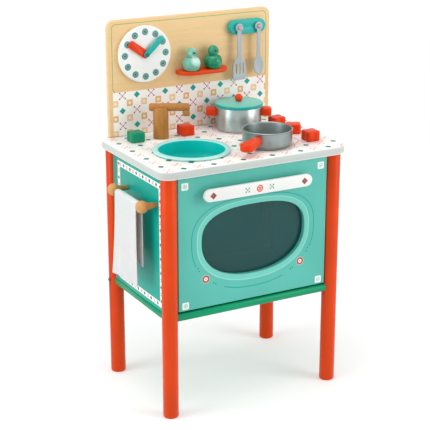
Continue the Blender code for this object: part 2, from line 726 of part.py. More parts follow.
def make_door_panel(hinge):
    size = (door_width, DOOR_THICKNESS, door_height)
    mesh = block("oven_door", size, DOOR_EDGE_ROUNDING, DOOR_EDGE_ROUNDING, corner_segments=1)
    place = (0, door_front + DOOR_THICKNESS / 2 - pivot_y, door_bottom + door_height / 2 - pivot_z)
    door = add_piece("oven_door", mesh, place, DOOR_PAINT, hinge)
    window_z = door_bottom + WINDOW_ABOVE_DOOR_BOTTOM - pivot_z
    hole = plate("window_hole", window_outline(), DOOR_THICKNESS + 2 * CUT_OVERRUN)
    cut(door, "window_hole", hole, (0, door_back + CUT_OVERRUN - pivot_y, window_z), FACE_FRONT)
    rebate_depth = PANE_THICKNESS + SEAT_GAP
    rebate = plate("pane_rebate", window_outline(PANE_OVERLAP + SEAT_GAP), rebate_depth + CUT_OVERRUN)
    cut(door, "pane_rebate", rebate, (0, door_back + CUT_OVERRUN - pivot_y, window_z), FACE_FRONT)
    for side, sign, rotation in (("left", -1, ALONG_X), ("right", 1, ALONG_MINUS_X)):
        length = HINGE_PIN_IN_DOOR + SEAT_GAP + CUT_OVERRUN
        socket = rod("pin_socket", HINGE_PIN_RADIUS + SEAT_GAP, length)
        cut(door, "pin_socket_" + side, socket, (sign * (door_width / 2 + CUT_OVERRUN), 0, 0), rotation)


def make_window_pane(hinge):
    mesh = plate("door_window", window_outline(PANE_OVERLAP), PANE_THICKNESS)
    place = (0, door_back - pivot_y, door_bottom + WINDOW_ABOVE_DOOR_BOTTOM - pivot_z)
    add_piece("door_window", mesh, place, DARK_PANE, hinge, FACE_FRONT)


def make_door_handle(hinge):
    """A bar held off the door on two round spacers, with room for fingers behind it."""
    z = door_bottom + door_height - BAR_BELOW_DOOR_TOP - pivot_z
    bar_back = door_front - BAR_STANDOFF - pivot_y
    mesh = plate("door_handle_bar", stadium(BAR_LENGTH, BAR_HEIGHT), BAR_THICKNESS, BAR_EDGE_ROUNDING)
    add_piece("door_handle_bar", mesh, (0, bar_back, z), WHITE_PAINT, hinge, FACE_FRONT)
    reach = BAR_LENGTH / 2 - SPACER_FROM_BAR_END
    for side, sign in (("left", -1), ("right", 1)):
        mesh = rod("spacer", SPACER_RADIUS, BAR_STANDOFF - 2 * SEAT_GAP)
        place = (sign * reach, bar_back + SEAT_GAP, z)
        add_piece("door_handle_spacer_" + side, mesh, place, WHITE_PAINT, hinge, ALONG_Y)


def make_hinge_pins(hinge):
    length = HINGE_PIN_IN_DOOR + DOOR_SIDE_GAP + HINGE_PIN_IN_LEG
    inner = door_width / 2 - HINGE_PIN_IN_DOOR
    for side, sign, rotation in (("left", -1, ALONG_MINUS_X), ("right", 1, ALONG_X)):
        mesh = rod("hinge_pin", HINGE_PIN_RADIUS, length)
        add_piece("door_hinge_pin_" + side, mesh, (sign * inner, 0, 0), DARK_STEEL, hinge, rotation)


def make_door_catch():
    """A magnet block under the worktop, which the plate on the door comes up to."""
    mesh = block("catch_block", (CATCH_WIDTH, CATCH_DEPTH, CATCH_HEIGHT))
    front = door_back + SEAT_GAP + CATCH_PLATE_THICKNESS + SEAT_GAP
    place = (0, front + CATCH_DEPTH / 2, WORKTOP_UNDERSIDE_HEIGHT - SEAT_GAP - CATCH_HEIGHT / 2)
    add_piece("door_catch_block", mesh, place, WHITE_PAINT)


def board_outline():
    """Square at the foot and rounded at the two upper corners."""
    side = BOARD_WIDTH / 2
    radius = BOARD_CORNER_RADIUS
    upper = BOARD_HEIGHT - radius
    right = arc((side - radius, upper), radius, 0, 90, 6)
    left = arc((radius - side, upper), radius, 90, 180, 6)
    return [(-side, 0), (side, 0)] + right + left


def make_backboard():
    mesh = plate("backboard", board_outline(), BOARD_THICKNESS, BOARD_EDGE_ROUNDING)
    place = (0, board_front + BOARD_THICKNESS, worktop_top + SEAT_GAP)
    board = add_piece("backboard", mesh, place, PALE_WOOD, rotation=FACE_FRONT)
    half = DOWEL_LENGTH / 2
    y = board_front + BOARD_THICKNESS / 2
    for side, x in board_dowel_places():
        hole = rod("dowel_hole", DOWEL_RADIUS + SEAT_GAP, half + SEAT_GAP + CUT_OVERRUN)
        cut(board, "board_hole_" + side, hole, (x, y, worktop_top - CUT_OVERRUN))
        mesh = rod("dowel", DOWEL_RADIUS, DOWEL_LENGTH)
        add_piece("backboard_dowel_" + side, mesh, (x, y, worktop_top - half), PALE_WOOD)


def make_clock():
    disc = arc((0, 0), CLOCK_RADIUS, 0, 360, 48)[:-1]
    mesh = plate("clock_dial", disc, CLOCK_THICKNESS, CLOCK_EDGE_ROUNDING)
    place = (clock_x, board_front - SEAT_GAP, clock_z)
    dial = add_piece("clock_dial", mesh, place, WHITE_PAINT, rotation=FACE_FRONT)
    hole = rod("pin_hole", CLOCK_PIN_RADIUS + SEAT_GAP, CLOCK_THICKNESS + 2 * CUT_OVERRUN)
    cut(dial, "pin_hole", hole, (clock_x, board_front + CUT_OVERRUN, clock_z), FACE_FRONT)
    hour_back = clock_front - RUNNING_GAP
    minute_back = hour_back - HAND_THICKNESS - RUNNING_GAP
    hour_outline = block_hand(HOUR_HAND_LENGTH, HOUR_HAND_WIDTH, HOUR_HAND_TAIL)
    make_hand("clock_hour_hand", hour_outline, HOUR_HAND_ANGLE, hour_back, RED_PAINT)
    minute_outline = round_hand(MINUTE_HAND_LENGTH, MINUTE_HAND_WIDTH)
    make_hand("clock_minute_hand", minute_outline, MINUTE_HAND_ANGLE, minute_back, TEAL_PAINT)
    make_clock_pin(minute_back - HAND_THICKNESS - RUNNING_GAP)


def block_hand(length, width, tail):
    """A broad hand with softly rounded corners that starts just behind its pivot."""
    side = width / 2
    radius = HOUR_HAND_CORNER_RADIUS
    tip = length - radius
    top = arc((side - radius, tip), radius, 0, 90, 2) + arc((radius - side, tip), radius, 90, 180, 2)
    low = radius - tail
    foot = arc((radius - side, low), radius, 180, 270, 2) + arc((side - radius, low), radius, 270, 360, 2)
    return top + foot


def round_hand(length, width):
    """A slim hand with round ends."""
    radius = width / 2
    return arc((0, length - radius), radius, 0, 180, 6) + arc((0, 0), radius, 180, 360, 6)


def make_hand(name, outline, angle, back, finish):
    """A clock hand whose outline points up, turned clockwise by its angle as seen from the front."""
    mesh = plate(name, outline, HAND_THICKNESS)
    hand = add_piece(name, mesh, (clock_x, back, clock_z), finish, rotation=(math.radians(90), angle, 0))
    hole = rod(name + "_hole", CLOCK_PIN_RADIUS + RUNNING_GAP, HAND_THICKNESS + 2 * CUT_OVERRUN)
    cut(hand, name + "_hole", hole, (clock_x, back + CUT_OVERRUN, clock_z), FACE_FRONT)


def make_clock_pin(head_back):
    """The pin that carries both hands, with a domed head at the front."""
    shank = board_front - SEAT_GAP - head_back
    head = [
        (CLOCK_PIN_HEAD_RADIUS * wide, CLOCK_PIN_HEAD_HEIGHT * high) for wide, high in CLOCK_PIN_HEAD_SHARES
    ]
    profile = head + [(CLOCK_PIN_RADIUS, 0), (CLOCK_PIN_RADIUS, -shank), (0, -shank)]
    place = (clock_x, head_back, clock_z)
    turned("clock_pin", profile, place, GREEN_PAINT, rotation=FACE_FRONT, steps=SMALL_ROUND_STEPS)


def make_shelf():
    side = SHELF_WIDTH / 2
    radius = SHELF_CORNER_RADIUS
    corner = (side - radius, radius - SHELF_DEPTH)
    right = arc(corner, radius, 0, -90, 8)
    left = [(-x, y) for x, y in reversed(right)]
    outline = [(side, 0)] + right + left + [(-side, 0)]
    mesh = plate("shelf", outline, SHELF_THICKNESS, SHELF_EDGE_ROUNDING)
    place = (shelf_x, board_front - SEAT_GAP, shelf_top - SHELF_THICKNESS)
    add_piece("shelf", mesh, place, RED_PAINT)


def shaker_profile():
    """A round body with a flat foot, and a ball head sunk a little into its shoulders."""
    shoulder_height = SHAKER_BODY_HEIGHT - SHAKER_BELLY_HEIGHT
    head_middle = SHAKER_HEIGHT - SHAKER_HEAD_RADIUS
    head = arc((0, head_middle), SHAKER_HEAD_RADIUS, 90, -42, 6)
    head[0] = (0, SHAKER_HEIGHT)
    round_body = arc((0, 0), 1, 48, -2, 3)
    shoulders = [
        (SHAKER_RADIUS * wide, SHAKER_BELLY_HEIGHT + shoulder_height * high) for wide, high in round_body
    ]
    lower = [(SHAKER_RADIUS * wide, SHAKER_BELLY_HEIGHT * high) for wide, high in SHAKER_LOWER_SHARES]
    return head + shoulders + lower + [(SHAKER_FOOT_RADIUS, 0), (0, 0)]


def make_shakers():
    y = board_front - SHAKER_FROM_BOARD - SHAKER_RADIUS
    for name, sign, finish in (("mint", -1, MINT_PAINT), ("green", 1, GREEN_PAINT)):
        x = shelf_x - SHAKERS_LEFT_OF_SHELF + sign * SHAKER_SPACING / 2
        place = (x, y, shelf_top + SEAT_GAP)
        turned("shaker_" + name, shaker_profile(), place, finish, steps=24)


def make_utensil_rack():
    mesh = plate("utensil_rack", stadium(RACK_LENGTH, RACK_HEIGHT), RACK_THICKNESS, RACK_EDGE_ROUNDING)
    y = board_front - SEAT_GAP
    rack = add_piece("utensil_rack", mesh, (rack_x, y, rack_z), TEAL_PAINT, rotation=FACE_FRONT)
    for side, x in zip(("left", "right"), peg_places):
        hole = rod("peg_hole", PEG_RADIUS + SEAT_GAP, RACK_THICKNESS + 2 * CUT_OVERRUN)
        cut(rack, "peg_hole_" + side, hole, (x, board_front + CUT_OVERRUN, rack_z), FACE_FRONT)
        length = RACK_THICKNESS + PEG_STANDOUT
        peg = dowel("peg", PEG_RADIUS, length, PEG_END_ROUNDING, SMALL_ROUND_STEPS, 1)
        add_piece("utensil_peg_" + side, peg, (x, y, rack_z), PALE_WOOD, rotation=FACE_FRONT)


def utensil_outline(handle_width, blade):
    """An eye at the origin, a straight handle below it, and a blade given as its right-hand points."""
    half = handle_width / 2
    open_angle = math.degrees(math.asin(half / UTENSIL_EYE_RADIUS))
    eye = arc((0, 0), UTENSIL_EYE_RADIUS, -90 + open_angle, 270 - open_angle, 14)
    left = [(-x, y) for x, y in blade]
    return eye + left + list(reversed(blade))


def make_utensil(name, outline, x):
    back = rack_front - UTENSIL_FROM_RACK
    mesh = plate(name, outline, UTENSIL_THICKNESS, UTENSIL_EDGE_ROUNDING)
    utensil = add_piece(name, mesh, (x, back, rack_z), GREY_PAINT, rotation=FACE_FRONT)
    eye = rod(name + "_eye", PEG_RADIUS + RUNNING_GAP, UTENSIL_THICKNESS + 2 * CUT_OVERRUN)
    cut(utensil, name + "_eye", eye, (x, back + CUT_OVERRUN, rack_z), FACE_FRONT)
    return utensil


def make_turner():
    """A slotted turner that hangs from the left peg."""
    neck = TURNER_BLADE_LENGTH - TURNER_LENGTH
    handle = TURNER_HANDLE_WIDTH / 2
    blade = [(handle, neck)] + [
        (max(handle, wide * TURNER_BLADE_WIDTH / 2), neck - down * TURNER_BLADE_LENGTH)
        for wide, down in TURNER_BLADE_SHARES
    ]
    x = peg_places[0]
    turner = make_utensil("turner", utensil_outline(TURNER_HANDLE_WIDTH, blade), x)
    pitch = TURNER_BLADE_WIDTH / (TURNER_SLOT_COUNT + 1)
    outline = stadium(TURNER_SLOT_LENGTH, TURNER_SLOT_WIDTH, 4)
    for number in range(TURNER_SLOT_COUNT):
        slot = plate("slot", outline, UTENSIL_THICKNESS + 2 * CUT_OVERRUN)
        across = (number - (TURNER_SLOT_COUNT - 1) / 2) * pitch
        z = rack_z - TURNER_LENGTH + TURNER_BLADE_LENGTH / 2 - TURNER_SLOT_WIDTH / 2
        place = (x + across, rack_front - UTENSIL_FROM_RACK + CUT_OVERRUN, z)
        cut(turner, f"turner_slot_{number}", slot, place, (math.radians(90), math.radians(90), 0))


def make_spoon():
    """A spoon with a shallow dish that hangs from the right peg."""
    handle = SPOON_HANDLE_WIDTH / 2
    middle = SPOON_BOWL_LENGTH / 2 - SPOON_LENGTH
    start = math.degrees(math.acos(handle / (SPOON_BOWL_WIDTH / 2)))
    oval = arc((0, 0), 1, start, -80, SPOON_BOWL_STEPS)
    bowl = [(wide * SPOON_BOWL_WIDTH / 2, middle + high * SPOON_BOWL_LENGTH / 2) for wide, high in oval]
    x = peg_places[1]
    spoon = make_utensil("spoon", utensil_outline(SPOON_HANDLE_WIDTH, bowl), x)
    bm = bmesh.new()
    bmesh.ops.create_uvsphere(bm, u_segments=20, v_segments=10, radius=1)
    inside = SPOON_BOWL_WIDTH / 2 - UTENSIL_THICKNESS / 2
    stretch = SPOON_BOWL_LENGTH / SPOON_BOWL_WIDTH
    bmesh.ops.scale(bm, vec=(inside, 2 * SPOON_DISH_DEPTH, inside * stretch), verts=bm.verts)
    face = rack_front - UTENSIL_FROM_RACK - UTENSIL_THICKNESS - SPOON_DISH_DEPTH
    cut(spoon, "spoon_dish", finished_mesh("spoon_dish", bm), (x, face, rack_z + middle))


def make_tap():
    """A post with an arm across its top and a short spout, which swivels on a spigot in the worktop."""
    swivel = pivot("tap_axis", (tap_x, tap_y, worktop_top), TAP_ANGLE)
    arm_z = TAP_ARM_ABOVE_WORKTOP
    post_mesh = dowel("tap_post", TAP_POST_RADIUS, arm_z - SEAT_GAP, TAP_POST_ROUNDING, rounded="top")
    post = add_piece("tap_post", post_mesh, (0, 0, SEAT_GAP), HONEY_WOOD, swivel)
    join_spigot(post, swivel)
    reach = TAP_SPOUT_REACH + TAP_SPOUT_RADIUS
    length = TAP_ARM_BACK_REACH + reach
    saddle = dowel("arm_saddle", TAP_ARM_RADIUS + SEAT_GAP, length, steps=ROUND_STEPS)
    cut(post, "arm_saddle", saddle, (-TAP_ARM_BACK_REACH, 0, arm_z), ALONG_X)
    arm_mesh = dowel("tap_arm", TAP_ARM_RADIUS, length, TAP_ARM_ROUNDING, steps=24)
    add_piece("tap_arm", arm_mesh, (-TAP_ARM_BACK_REACH, 0, arm_z), HONEY_WOOD, swivel, ALONG_X)
    spout_mesh = dowel("tap_spout", TAP_SPOUT_RADIUS, TAP_SPOUT_DROP, steps=20)
    spout_z = arm_z - TAP_SPOUT_DROP
    spout = add_piece("tap_spout", spout_mesh, (TAP_SPOUT_REACH, 0, spout_z), HONEY_WOOD, swivel)
    seat = dowel("spout_seat", TAP_ARM_RADIUS + SEAT_GAP, length, steps=ROUND_STEPS)
    cut(spout, "spout_seat", seat, (-TAP_ARM_BACK_REACH, 0, arm_z), ALONG_X)
    bore = rod("spout_bore", TAP_SPOUT_BORE_RADIUS, TAP_SPOUT_BORE_DEPTH + CUT_OVERRUN)
    cut(spout, "spout_bore", bore, (TAP_SPOUT_REACH, 0, spout_z - CUT_OVERRUN))


def join_spigot(post, swivel):
    """Adds the spigot under the post, as one body with it."""
    length = WORKTOP_THICKNESS + SEAT_GAP
    mesh = rod("tap_spigot", TAP_SPIGOT_RADIUS, 2 * length)
    spigot = bpy.data.objects.new("tap_spigot", mesh)
    spigot.location = (0, 0, -WORKTOP_THICKNESS)
    spigot.parent = swivel
    spigot.hide_render = True
    spigot.display_type = "WIRE"
    CUTTERS.objects.link(spigot)
    union = post.modifiers.new("tap_spigot", "BOOLEAN")
    union.operation = "UNION"
    union.solver = "EXACT"
    union.object = spigot


def knob_outline():
    """Round lobes with a waist between each two."""
    middle = (KNOB_LOBE_RADIUS + KNOB_WAIST_RADIUS) / 2
    swing = (KNOB_LOBE_RADIUS - KNOB_WAIST_RADIUS) / 2
    points = []
    for step in range(KNOB_STEPS):
        angle = 2 * math.pi * step / KNOB_STEPS
        radius = middle - swing * math.cos(KNOB_LOBES * angle)
        points.append((radius * math.cos(angle), radius * math.sin(angle)))
    return points


def spindle_profile():
    """A round spindle from inside the knob to a flat head under the worktop."""
    underside = -WORKTOP_THICKNESS - RUNNING_GAP
    foot = underside - SPINDLE_HEAD_HEIGHT
    return [
        (0, SPINDLE_IN_KNOB),
        (SPINDLE_RADIUS, SPINDLE_IN_KNOB),
        (SPINDLE_RADIUS, underside),
        (SPINDLE_HEAD_RADIUS, underside),
        (SPINDLE_HEAD_RADIUS, foot),
        (0, foot),
    ]


def make_knob(knob_name, spindle_name, place, finish, turn=0.0):
    axis = pivot(knob_name + "_axis", (*place, worktop_top), turn)
    mesh = plate(knob_name, knob_outline(), KNOB_HEIGHT, KNOB_EDGE_ROUNDING)
    knob = add_piece(knob_name, mesh, (0, 0, RUNNING_GAP), finish, axis)
    depth = SPINDLE_IN_KNOB + SEAT_GAP
    socket = rod("socket", SPINDLE_RADIUS + SEAT_GAP, depth + CUT_OVERRUN)
    cut(knob, knob_name + "_socket", socket, (0, 0, -CUT_OVERRUN))
    turned(spindle_name, spindle_profile(), (0, 0, 0), DARK_STEEL, axis, steps=SMALL_ROUND_STEPS)


def make_knobs():
    for side, place, finish in zip(("left", "right"), tap_knob_places, (GREEN_PAINT, RED_PAINT)):
        make_knob("tap_knob_" + side, "tap_spindle_" + side, place, finish)
    for name, place, turn in zip(("front", "middle", "back"), hob_knob_places, HOB_KNOB_TURNS):
        make_knob("hob_knob_" + name, "hob_spindle_" + name, place, RED_PAINT, turn)


def make_sink_bowl():
    """A round bowl that drops into the worktop and hangs there by its thick rim."""
    rim_top = SINK_RIM_HEIGHT
    round_over = SINK_RIM_HEIGHT / 2
    bottom = rim_top - SINK_DEPTH
    knee = SINK_OPENING_RADIUS - SINK_BOTTOM_RADIUS
    inside = [(0, bottom)] + arc((SINK_BOTTOM_RADIUS, bottom + knee), knee, -90, 0, 4)
    lip = [(SINK_OPENING_RADIUS, rim_top - SINK_WALL), (SINK_OPENING_RADIUS + SINK_WALL, rim_top)]
    edge = arc((sink_rim_radius - round_over, rim_top - round_over), round_over, 90, -90, 4)
    under = [(sink_body_radius, 0)]
    outer_knee = knee + SINK_WALL
    outside = arc((SINK_BOTTOM_RADIUS, bottom + knee), outer_knee, 0, -90, 4)
    profile = inside + lip + edge + under + outside + [(0, bottom - SINK_WALL)]
    turned("sink_bowl", profile, (sink_x, sink_y, worktop_top + SEAT_GAP), SINK_PLASTIC)


def make_pot():
    frame = pivot("pot_axis", (pot_x, pot_y, worktop_top + SEAT_GAP), POT_TURN)
    base = POT_BASE_ROUNDING
    inner = POT_RADIUS - POT_WALL
    profile = (
        [(0, POT_WALL), (inner - base, POT_WALL), (inner, POT_WALL + base)]
        + [(inner, POT_HEIGHT), (POT_RADIUS, POT_HEIGHT)]
        + arc((POT_RADIUS - base, base), base, 0, -90, 3)
        + [(0, 0)]
    )
    turned("pot_body", profile, (0, 0, 0), BRUSHED_METAL, frame)
    ear_z = POT_HEIGHT - EAR_BELOW_POT_RIM
    sunk = POT_RADIUS - math.sqrt(POT_RADIUS**2 - (EAR_WIDTH / 2) ** 2) + EAR_CORNER_RADIUS
    for side, sign in (("left", -1), ("right", 1)):
        size = (EAR_REACH + sunk, EAR_WIDTH, EAR_HEIGHT)
        mesh = block("pot_ear", size, EAR_CORNER_RADIUS, EAR_EDGE_ROUNDING, 3)
        middle = sign * (POT_RADIUS + (EAR_REACH - sunk) / 2)
        ear = add_piece("pot_ear_" + side, mesh, (middle, 0, ear_z), RED_PAINT, frame)
        drum = dowel("drum", POT_RADIUS + SEAT_GAP, POT_HEIGHT, steps=TURN_STEPS * 2)
        cut(ear, "ear_seat_" + side, drum, (0, 0, 0))


def make_pot_lid():
    frame = pivot("lid_axis", (pot_x, pot_y, worktop_top + 2 * SEAT_GAP + POT_HEIGHT))
    spigot = POT_RADIUS - POT_WALL - LID_SPIGOT_CLEARANCE
    edge = LID_EDGE_ROUNDING
    crown = LID_THICKNESS + LID_CROWN
    profile = (
        [(0, crown), (lid_radius * LID_SLOPE_SHARE, LID_THICKNESS + LID_CROWN / 2)]
        + arc((lid_radius - edge, LID_THICKNESS - edge), edge, 90, 0, 2)
        + [(lid_radius, 0), (spigot, 0), (spigot, -LID_SPIGOT_DEPTH), (0, -LID_SPIGOT_DEPTH)]
    )
    turned("pot_lid", profile, (0, 0, 0), MINT_PAINT, frame)
    foot = LID_KNOB_FOOT_RADIUS
    drop = math.sqrt(LID_KNOB_RADIUS**2 - foot**2)
    start = math.degrees(math.atan2(-drop, foot))
    ball = arc((0, drop), LID_KNOB_RADIUS, 90, start, 8)
    ball[0] = (0, drop + LID_KNOB_RADIUS)
    turned("pot_lid_knob", ball + [(0, 0)], (0, 0, crown + SEAT_GAP), RED_PAINT, frame, steps=20)


def make_pan():
    frame = pivot("pan_axis", (pan_x, pan_y, worktop_top + SEAT_GAP), PAN_HANDLE_ANGLE)
    base = PAN_BASE_ROUNDING
    inner = PAN_RADIUS - PAN_WALL
    bead = PAN_RIM_BEAD
    profile = (
        [(0, PAN_WALL)]
        + arc((PAN_RADIUS - base, base), base - PAN_WALL, -90, 0, 3)
        + [(inner, PAN_HEIGHT - bead), (PAN_RADIUS, PAN_HEIGHT), (PAN_RADIUS + bead, PAN_HEIGHT - bead)]
        + [(PAN_RADIUS, PAN_HEIGHT - 2 * bead)]
        + arc((PAN_RADIUS - base, base), base, 0, -90, 3)
        + [(0, 0)]
    )
    turned("pan_body", profile, (0, 0, 0), BRUSHED_METAL, frame)
    mesh = plate("pan_handle", pan_handle_outline(), PAN_HANDLE_THICKNESS, PAN_HANDLE_ROUNDING, 1)
    z = PAN_HANDLE_ABOVE_WORKTOP - PAN_HANDLE_THICKNESS / 2
    handle = add_piece("pan_handle", mesh, (0, 0, z), RED_PAINT, frame)
    drum = dowel("drum", PAN_RADIUS + SEAT_GAP, PAN_HEIGHT, steps=TURN_STEPS * 2)
    cut(handle, "handle_seat", drum, (0, 0, 0))


def pan_handle_outline():
    """A paddle that widens from the pan to a round end."""
    root, end = PAN_HANDLE_ROOT_WIDTH / 2, PAN_HANDLE_END_WIDTH / 2
    start = PAN_RADIUS - root
    tip = PAN_RADIUS + PAN_HANDLE_LENGTH
    upper = [(start, root), (PAN_RADIUS + root, root)]
    return [(x, -y) for x, y in upper] + arc((tip - end, 0), end, -75, 75, 10) + list(reversed(upper))


def make_towel_rail():
    rod_reach = rail_back_y - rail_front_y - 2 * (RAIL_BALL_RADIUS - RAIL_ROD_IN_BALL)
    hole_radius = RAIL_ROD_RADIUS + SEAT_GAP
    post_length = RAIL_FROM_PANEL - SEAT_GAP
    neck = math.degrees(math.asin(RAIL_STEM_NECK_RADIUS / RAIL_BALL_RADIUS))
    ball = arc((0, post_length), RAIL_BALL_RADIUS, 90, neck - 90, 8)
    ball[0] = (0, post_length + RAIL_BALL_RADIUS)
    profile = ball + [(RAIL_STEM_FOOT_RADIUS, 0), (0, 0)]
    for place, y, sign in (("front", rail_front_y, 1), ("back", rail_back_y, -1)):
        start = (-panel_face_x - SEAT_GAP, y, rail_z)
        name = "towel_rail_post_" + place
        post = turned(name, profile, start, HONEY_WOOD, rotation=ALONG_MINUS_X, steps=20)
        hole = rod("rod_hole", hole_radius, RAIL_BALL_RADIUS + CUT_OVERRUN)
        inner = (rail_x, y + sign * (RAIL_BALL_RADIUS - RAIL_ROD_IN_BALL - SEAT_GAP), rail_z)
        cut(post, "rod_hole_" + place, hole, inner, ALONG_Y if sign > 0 else FACE_FRONT)
    mesh = rod("towel_rail_rod", RAIL_ROD_RADIUS, rod_reach)
    y = rail_front_y + RAIL_BALL_RADIUS - RAIL_ROD_IN_BALL
    add_piece("towel_rail_rod", mesh, (rail_x, y, rail_z), HONEY_WOOD, rotation=ALONG_Y)


def towel_path():
    """The cloth from its outer hem, as (out from the rod, up from it, share hung below the rod)."""
    bend = RAIL_ROD_RADIUS + RUNNING_GAP + TOWEL_CLOTH_THICKNESS / 2
    outer_shares = [row / TOWEL_OUTER_ROWS for row in range(TOWEL_OUTER_ROWS, 0, -1)]
    inner_shares = [row / TOWEL_INNER_ROWS for row in range(1, TOWEL_INNER_ROWS + 1)]
    outer = [(bend, -TOWEL_FRONT_DROP * share, share) for share in outer_shares]
    over = [(across, up, 0.0) for across, up in arc((0, 0), bend, 0, 180, 8)]
    inner = [(-bend, -TOWEL_BACK_DROP * share, share) for share in inner_shares]
    return outer + over + inner


def make_towel():
    """A folded cloth hung over the rod, with soft upright folds that deepen towards its hems."""
    bm = bmesh.new()
    rows = []
    for out, up, hung in towel_path():
        row = []
        for column in range(TOWEL_COLUMNS + 1):
            across = column / TOWEL_COLUMNS - 0.5
            turn = 2 * math.pi * TOWEL_FOLD_COUNT * across + TOWEL_FOLD_START
            wave = TOWEL_FOLD_DEPTH * hung * math.sin(turn)
            away = TOWEL_LEAN * hung if out > 0 else 0.0
            bulge = math.copysign(TOWEL_BULGE_SHARE * abs(wave), out)
            x = -(out + away + bulge + (1 - TOWEL_BULGE_SHARE) * wave)
            y = across * (towel_width + TOWEL_FLARE * hung)
            row.append(bm.verts.new((x, y, up)))
        rows.append(row)
    for lower, upper in zip(rows, rows[1:]):
        for left in range(TOWEL_COLUMNS):
            bm.faces.new((lower[left], lower[left + 1], upper[left + 1], upper[left]))
    mesh = finished_mesh("towel", bm)
    place = (rail_x, rail_back_y - TOWEL_FROM_BACK_BALL - towel_width / 2, rail_z)
    towel = add_piece("towel", mesh, place, WHITE_CLOTH)
    solid = towel.modifiers.new("cloth_thickness", "SOLIDIFY")
    solid.thickness = TOWEL_CLOTH_THICKNESS
    solid.offset = 0


def main():
    make_worktop()
    make_legs()
    make_base()
    make_leg_bolts()
    make_side_panels()
    make_back_panel()
    make_door()
    make_door_catch()
    make_backboard()
    make_clock()
    make_shelf()
    make_shakers()
    make_utensil_rack()
    make_turner()
    make_spoon()
    make_tap()
    make_knobs()
    make_sink_bowl()
    make_pot()
    make_pot_lid()
    make_pan()
    make_towel_rail()
    make_towel()


main()
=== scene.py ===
"""Looks of a wooden toy kitchen: finishes, finer shapes, light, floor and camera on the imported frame."""
import json
import math

import bmesh
import bpy
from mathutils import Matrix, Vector


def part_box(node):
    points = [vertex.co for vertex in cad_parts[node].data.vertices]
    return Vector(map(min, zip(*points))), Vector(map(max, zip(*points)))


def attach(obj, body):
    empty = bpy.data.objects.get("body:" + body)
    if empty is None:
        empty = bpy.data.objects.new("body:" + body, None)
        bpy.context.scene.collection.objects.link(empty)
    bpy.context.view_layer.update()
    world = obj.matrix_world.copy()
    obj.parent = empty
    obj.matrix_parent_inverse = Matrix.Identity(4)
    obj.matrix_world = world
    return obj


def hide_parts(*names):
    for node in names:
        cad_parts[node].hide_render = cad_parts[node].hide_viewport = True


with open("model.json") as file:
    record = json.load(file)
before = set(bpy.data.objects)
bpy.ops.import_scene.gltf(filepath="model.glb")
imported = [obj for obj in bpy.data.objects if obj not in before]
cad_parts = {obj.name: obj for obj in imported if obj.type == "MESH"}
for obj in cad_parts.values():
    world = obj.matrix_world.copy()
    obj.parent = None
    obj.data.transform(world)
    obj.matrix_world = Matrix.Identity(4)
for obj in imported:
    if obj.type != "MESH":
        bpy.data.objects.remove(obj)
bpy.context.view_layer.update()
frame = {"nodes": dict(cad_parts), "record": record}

bodies_by_node = {
    node: body
    for body, nodes in frame["record"]["behaviour"]["bodies"].items()
    for node in nodes
}

# Colours, as 8-bit sRGB
ORANGE = (218, 66, 4)
RED = (224, 58, 0)
GREEN = (0, 136, 98)
BASE_GREEN = (2, 150, 104)
SIDE_TEAL = (10, 164, 148)
DOOR_TEAL = (92, 188, 174)
RACK_TEAL = (40, 174, 166)
MINT = (122, 196, 172)
LID_MINT = (118, 200, 182)
SINK_TEAL = (2, 192, 184)
RIM_MINT = (176, 226, 220)
WHITE = (236, 237, 234)
# Grey of the painted shade along the middle of the worktop's edges
EDGE_SHADE_GREY = (196, 203, 198)
TILE_WHITE = (247, 245, 240)
CLOTH_WHITE = (226, 227, 226)
PINE = (236, 203, 152)
PINE_DARK = (227, 190, 137)
HONEY = (192, 134, 68)
HONEY_DARK = (158, 100, 44)
RAIL_HONEY = (222, 172, 110)
RAIL_HONEY_DARK = (190, 134, 76)
PEG_PINK = (204, 190, 184)
GREY = (174, 182, 186)
METAL = (174, 186, 184)
STEEL = (104, 108, 112)
PANE = (30, 92, 92)
INK_TEAL = (28, 160, 150)
INK_DARK_TEAL = (14, 118, 116)
INK_MAROON = (160, 48, 84)
INK_PINK = (226, 84, 100)
INK_RED = (214, 70, 56)
INK_TAN = (226, 182, 130)
INK_PALE_TAN = (248, 230, 204)
INK_GREEN = (124, 176, 116)
INK_BROWN = (136, 78, 68)
INK_MINT = (164, 222, 208)
INK_GREY_TEAL = (112, 160, 156)
INK_BRICK = (188, 84, 74)
DOOR_PALE = (114, 204, 190)

BEAK_BROWN = (58, 50, 48)
GLAZE_GREEN = (0, 132, 88)

# Sizes of prints and finishes, in metres
FACE_SKIN = 0.0012
PRINT_EDGE = 0.00035
GRAIN_DEPTH = 0.00006
PAINT_DEPTH = 0.00003
TILE_PITCH = 0.031
TILE_ROW_PITCH = 0.030
TILE_TOP_ROW = 0.5725
TILE_ZONE_TOP = 0.580
TILE_DIAMOND = 0.0067
TILE_SQUARE = 0.0064
TILE_SQUARE_CORE = 0.0026
TILE_SHIFT = 0.004
CROSS_SPACING = 0.0029
CROSS_ARM_DOT = 0.0013
CROSS_END_DOT = 0.0016
BOARD_INSET = 0.009
BOARD_TOP_INSET = 0.0075
HOB_DISC = 0.054
HOB_RINGS = (0.0525, 0.048, 0.034, 0.018)
HOB_LINE = 0.0012
BORDER_PITCH = 0.0140
BORDER_HALF_WIDTH = 0.0054
BORDER_FRONT_HALF_WIDTH = 0.0048
BORDER_HEAD_INSET = 0.0202
BORDER_FOOT_INSET = 0.0130
BORDER_BACK_INSET = 0.0260
BORDER_FRONT_INSET = 0.0048
BORDER_DIAMOND = 0.0042
WINDOW_HALF_WIDTH = 0.1125
WINDOW_UPPER_HEIGHT = 0.062
WINDOW_LOWER_HEIGHT = 0.077
WINDOW_MIDDLE_HEIGHT = 0.340
RING_MARK_ACROSS = 0.1035
RING_MARK_DROP = 0.0717
CORNER_MARK_ACROSS = 0.1465
DIAL_MARK_RADIUS = 0.0436

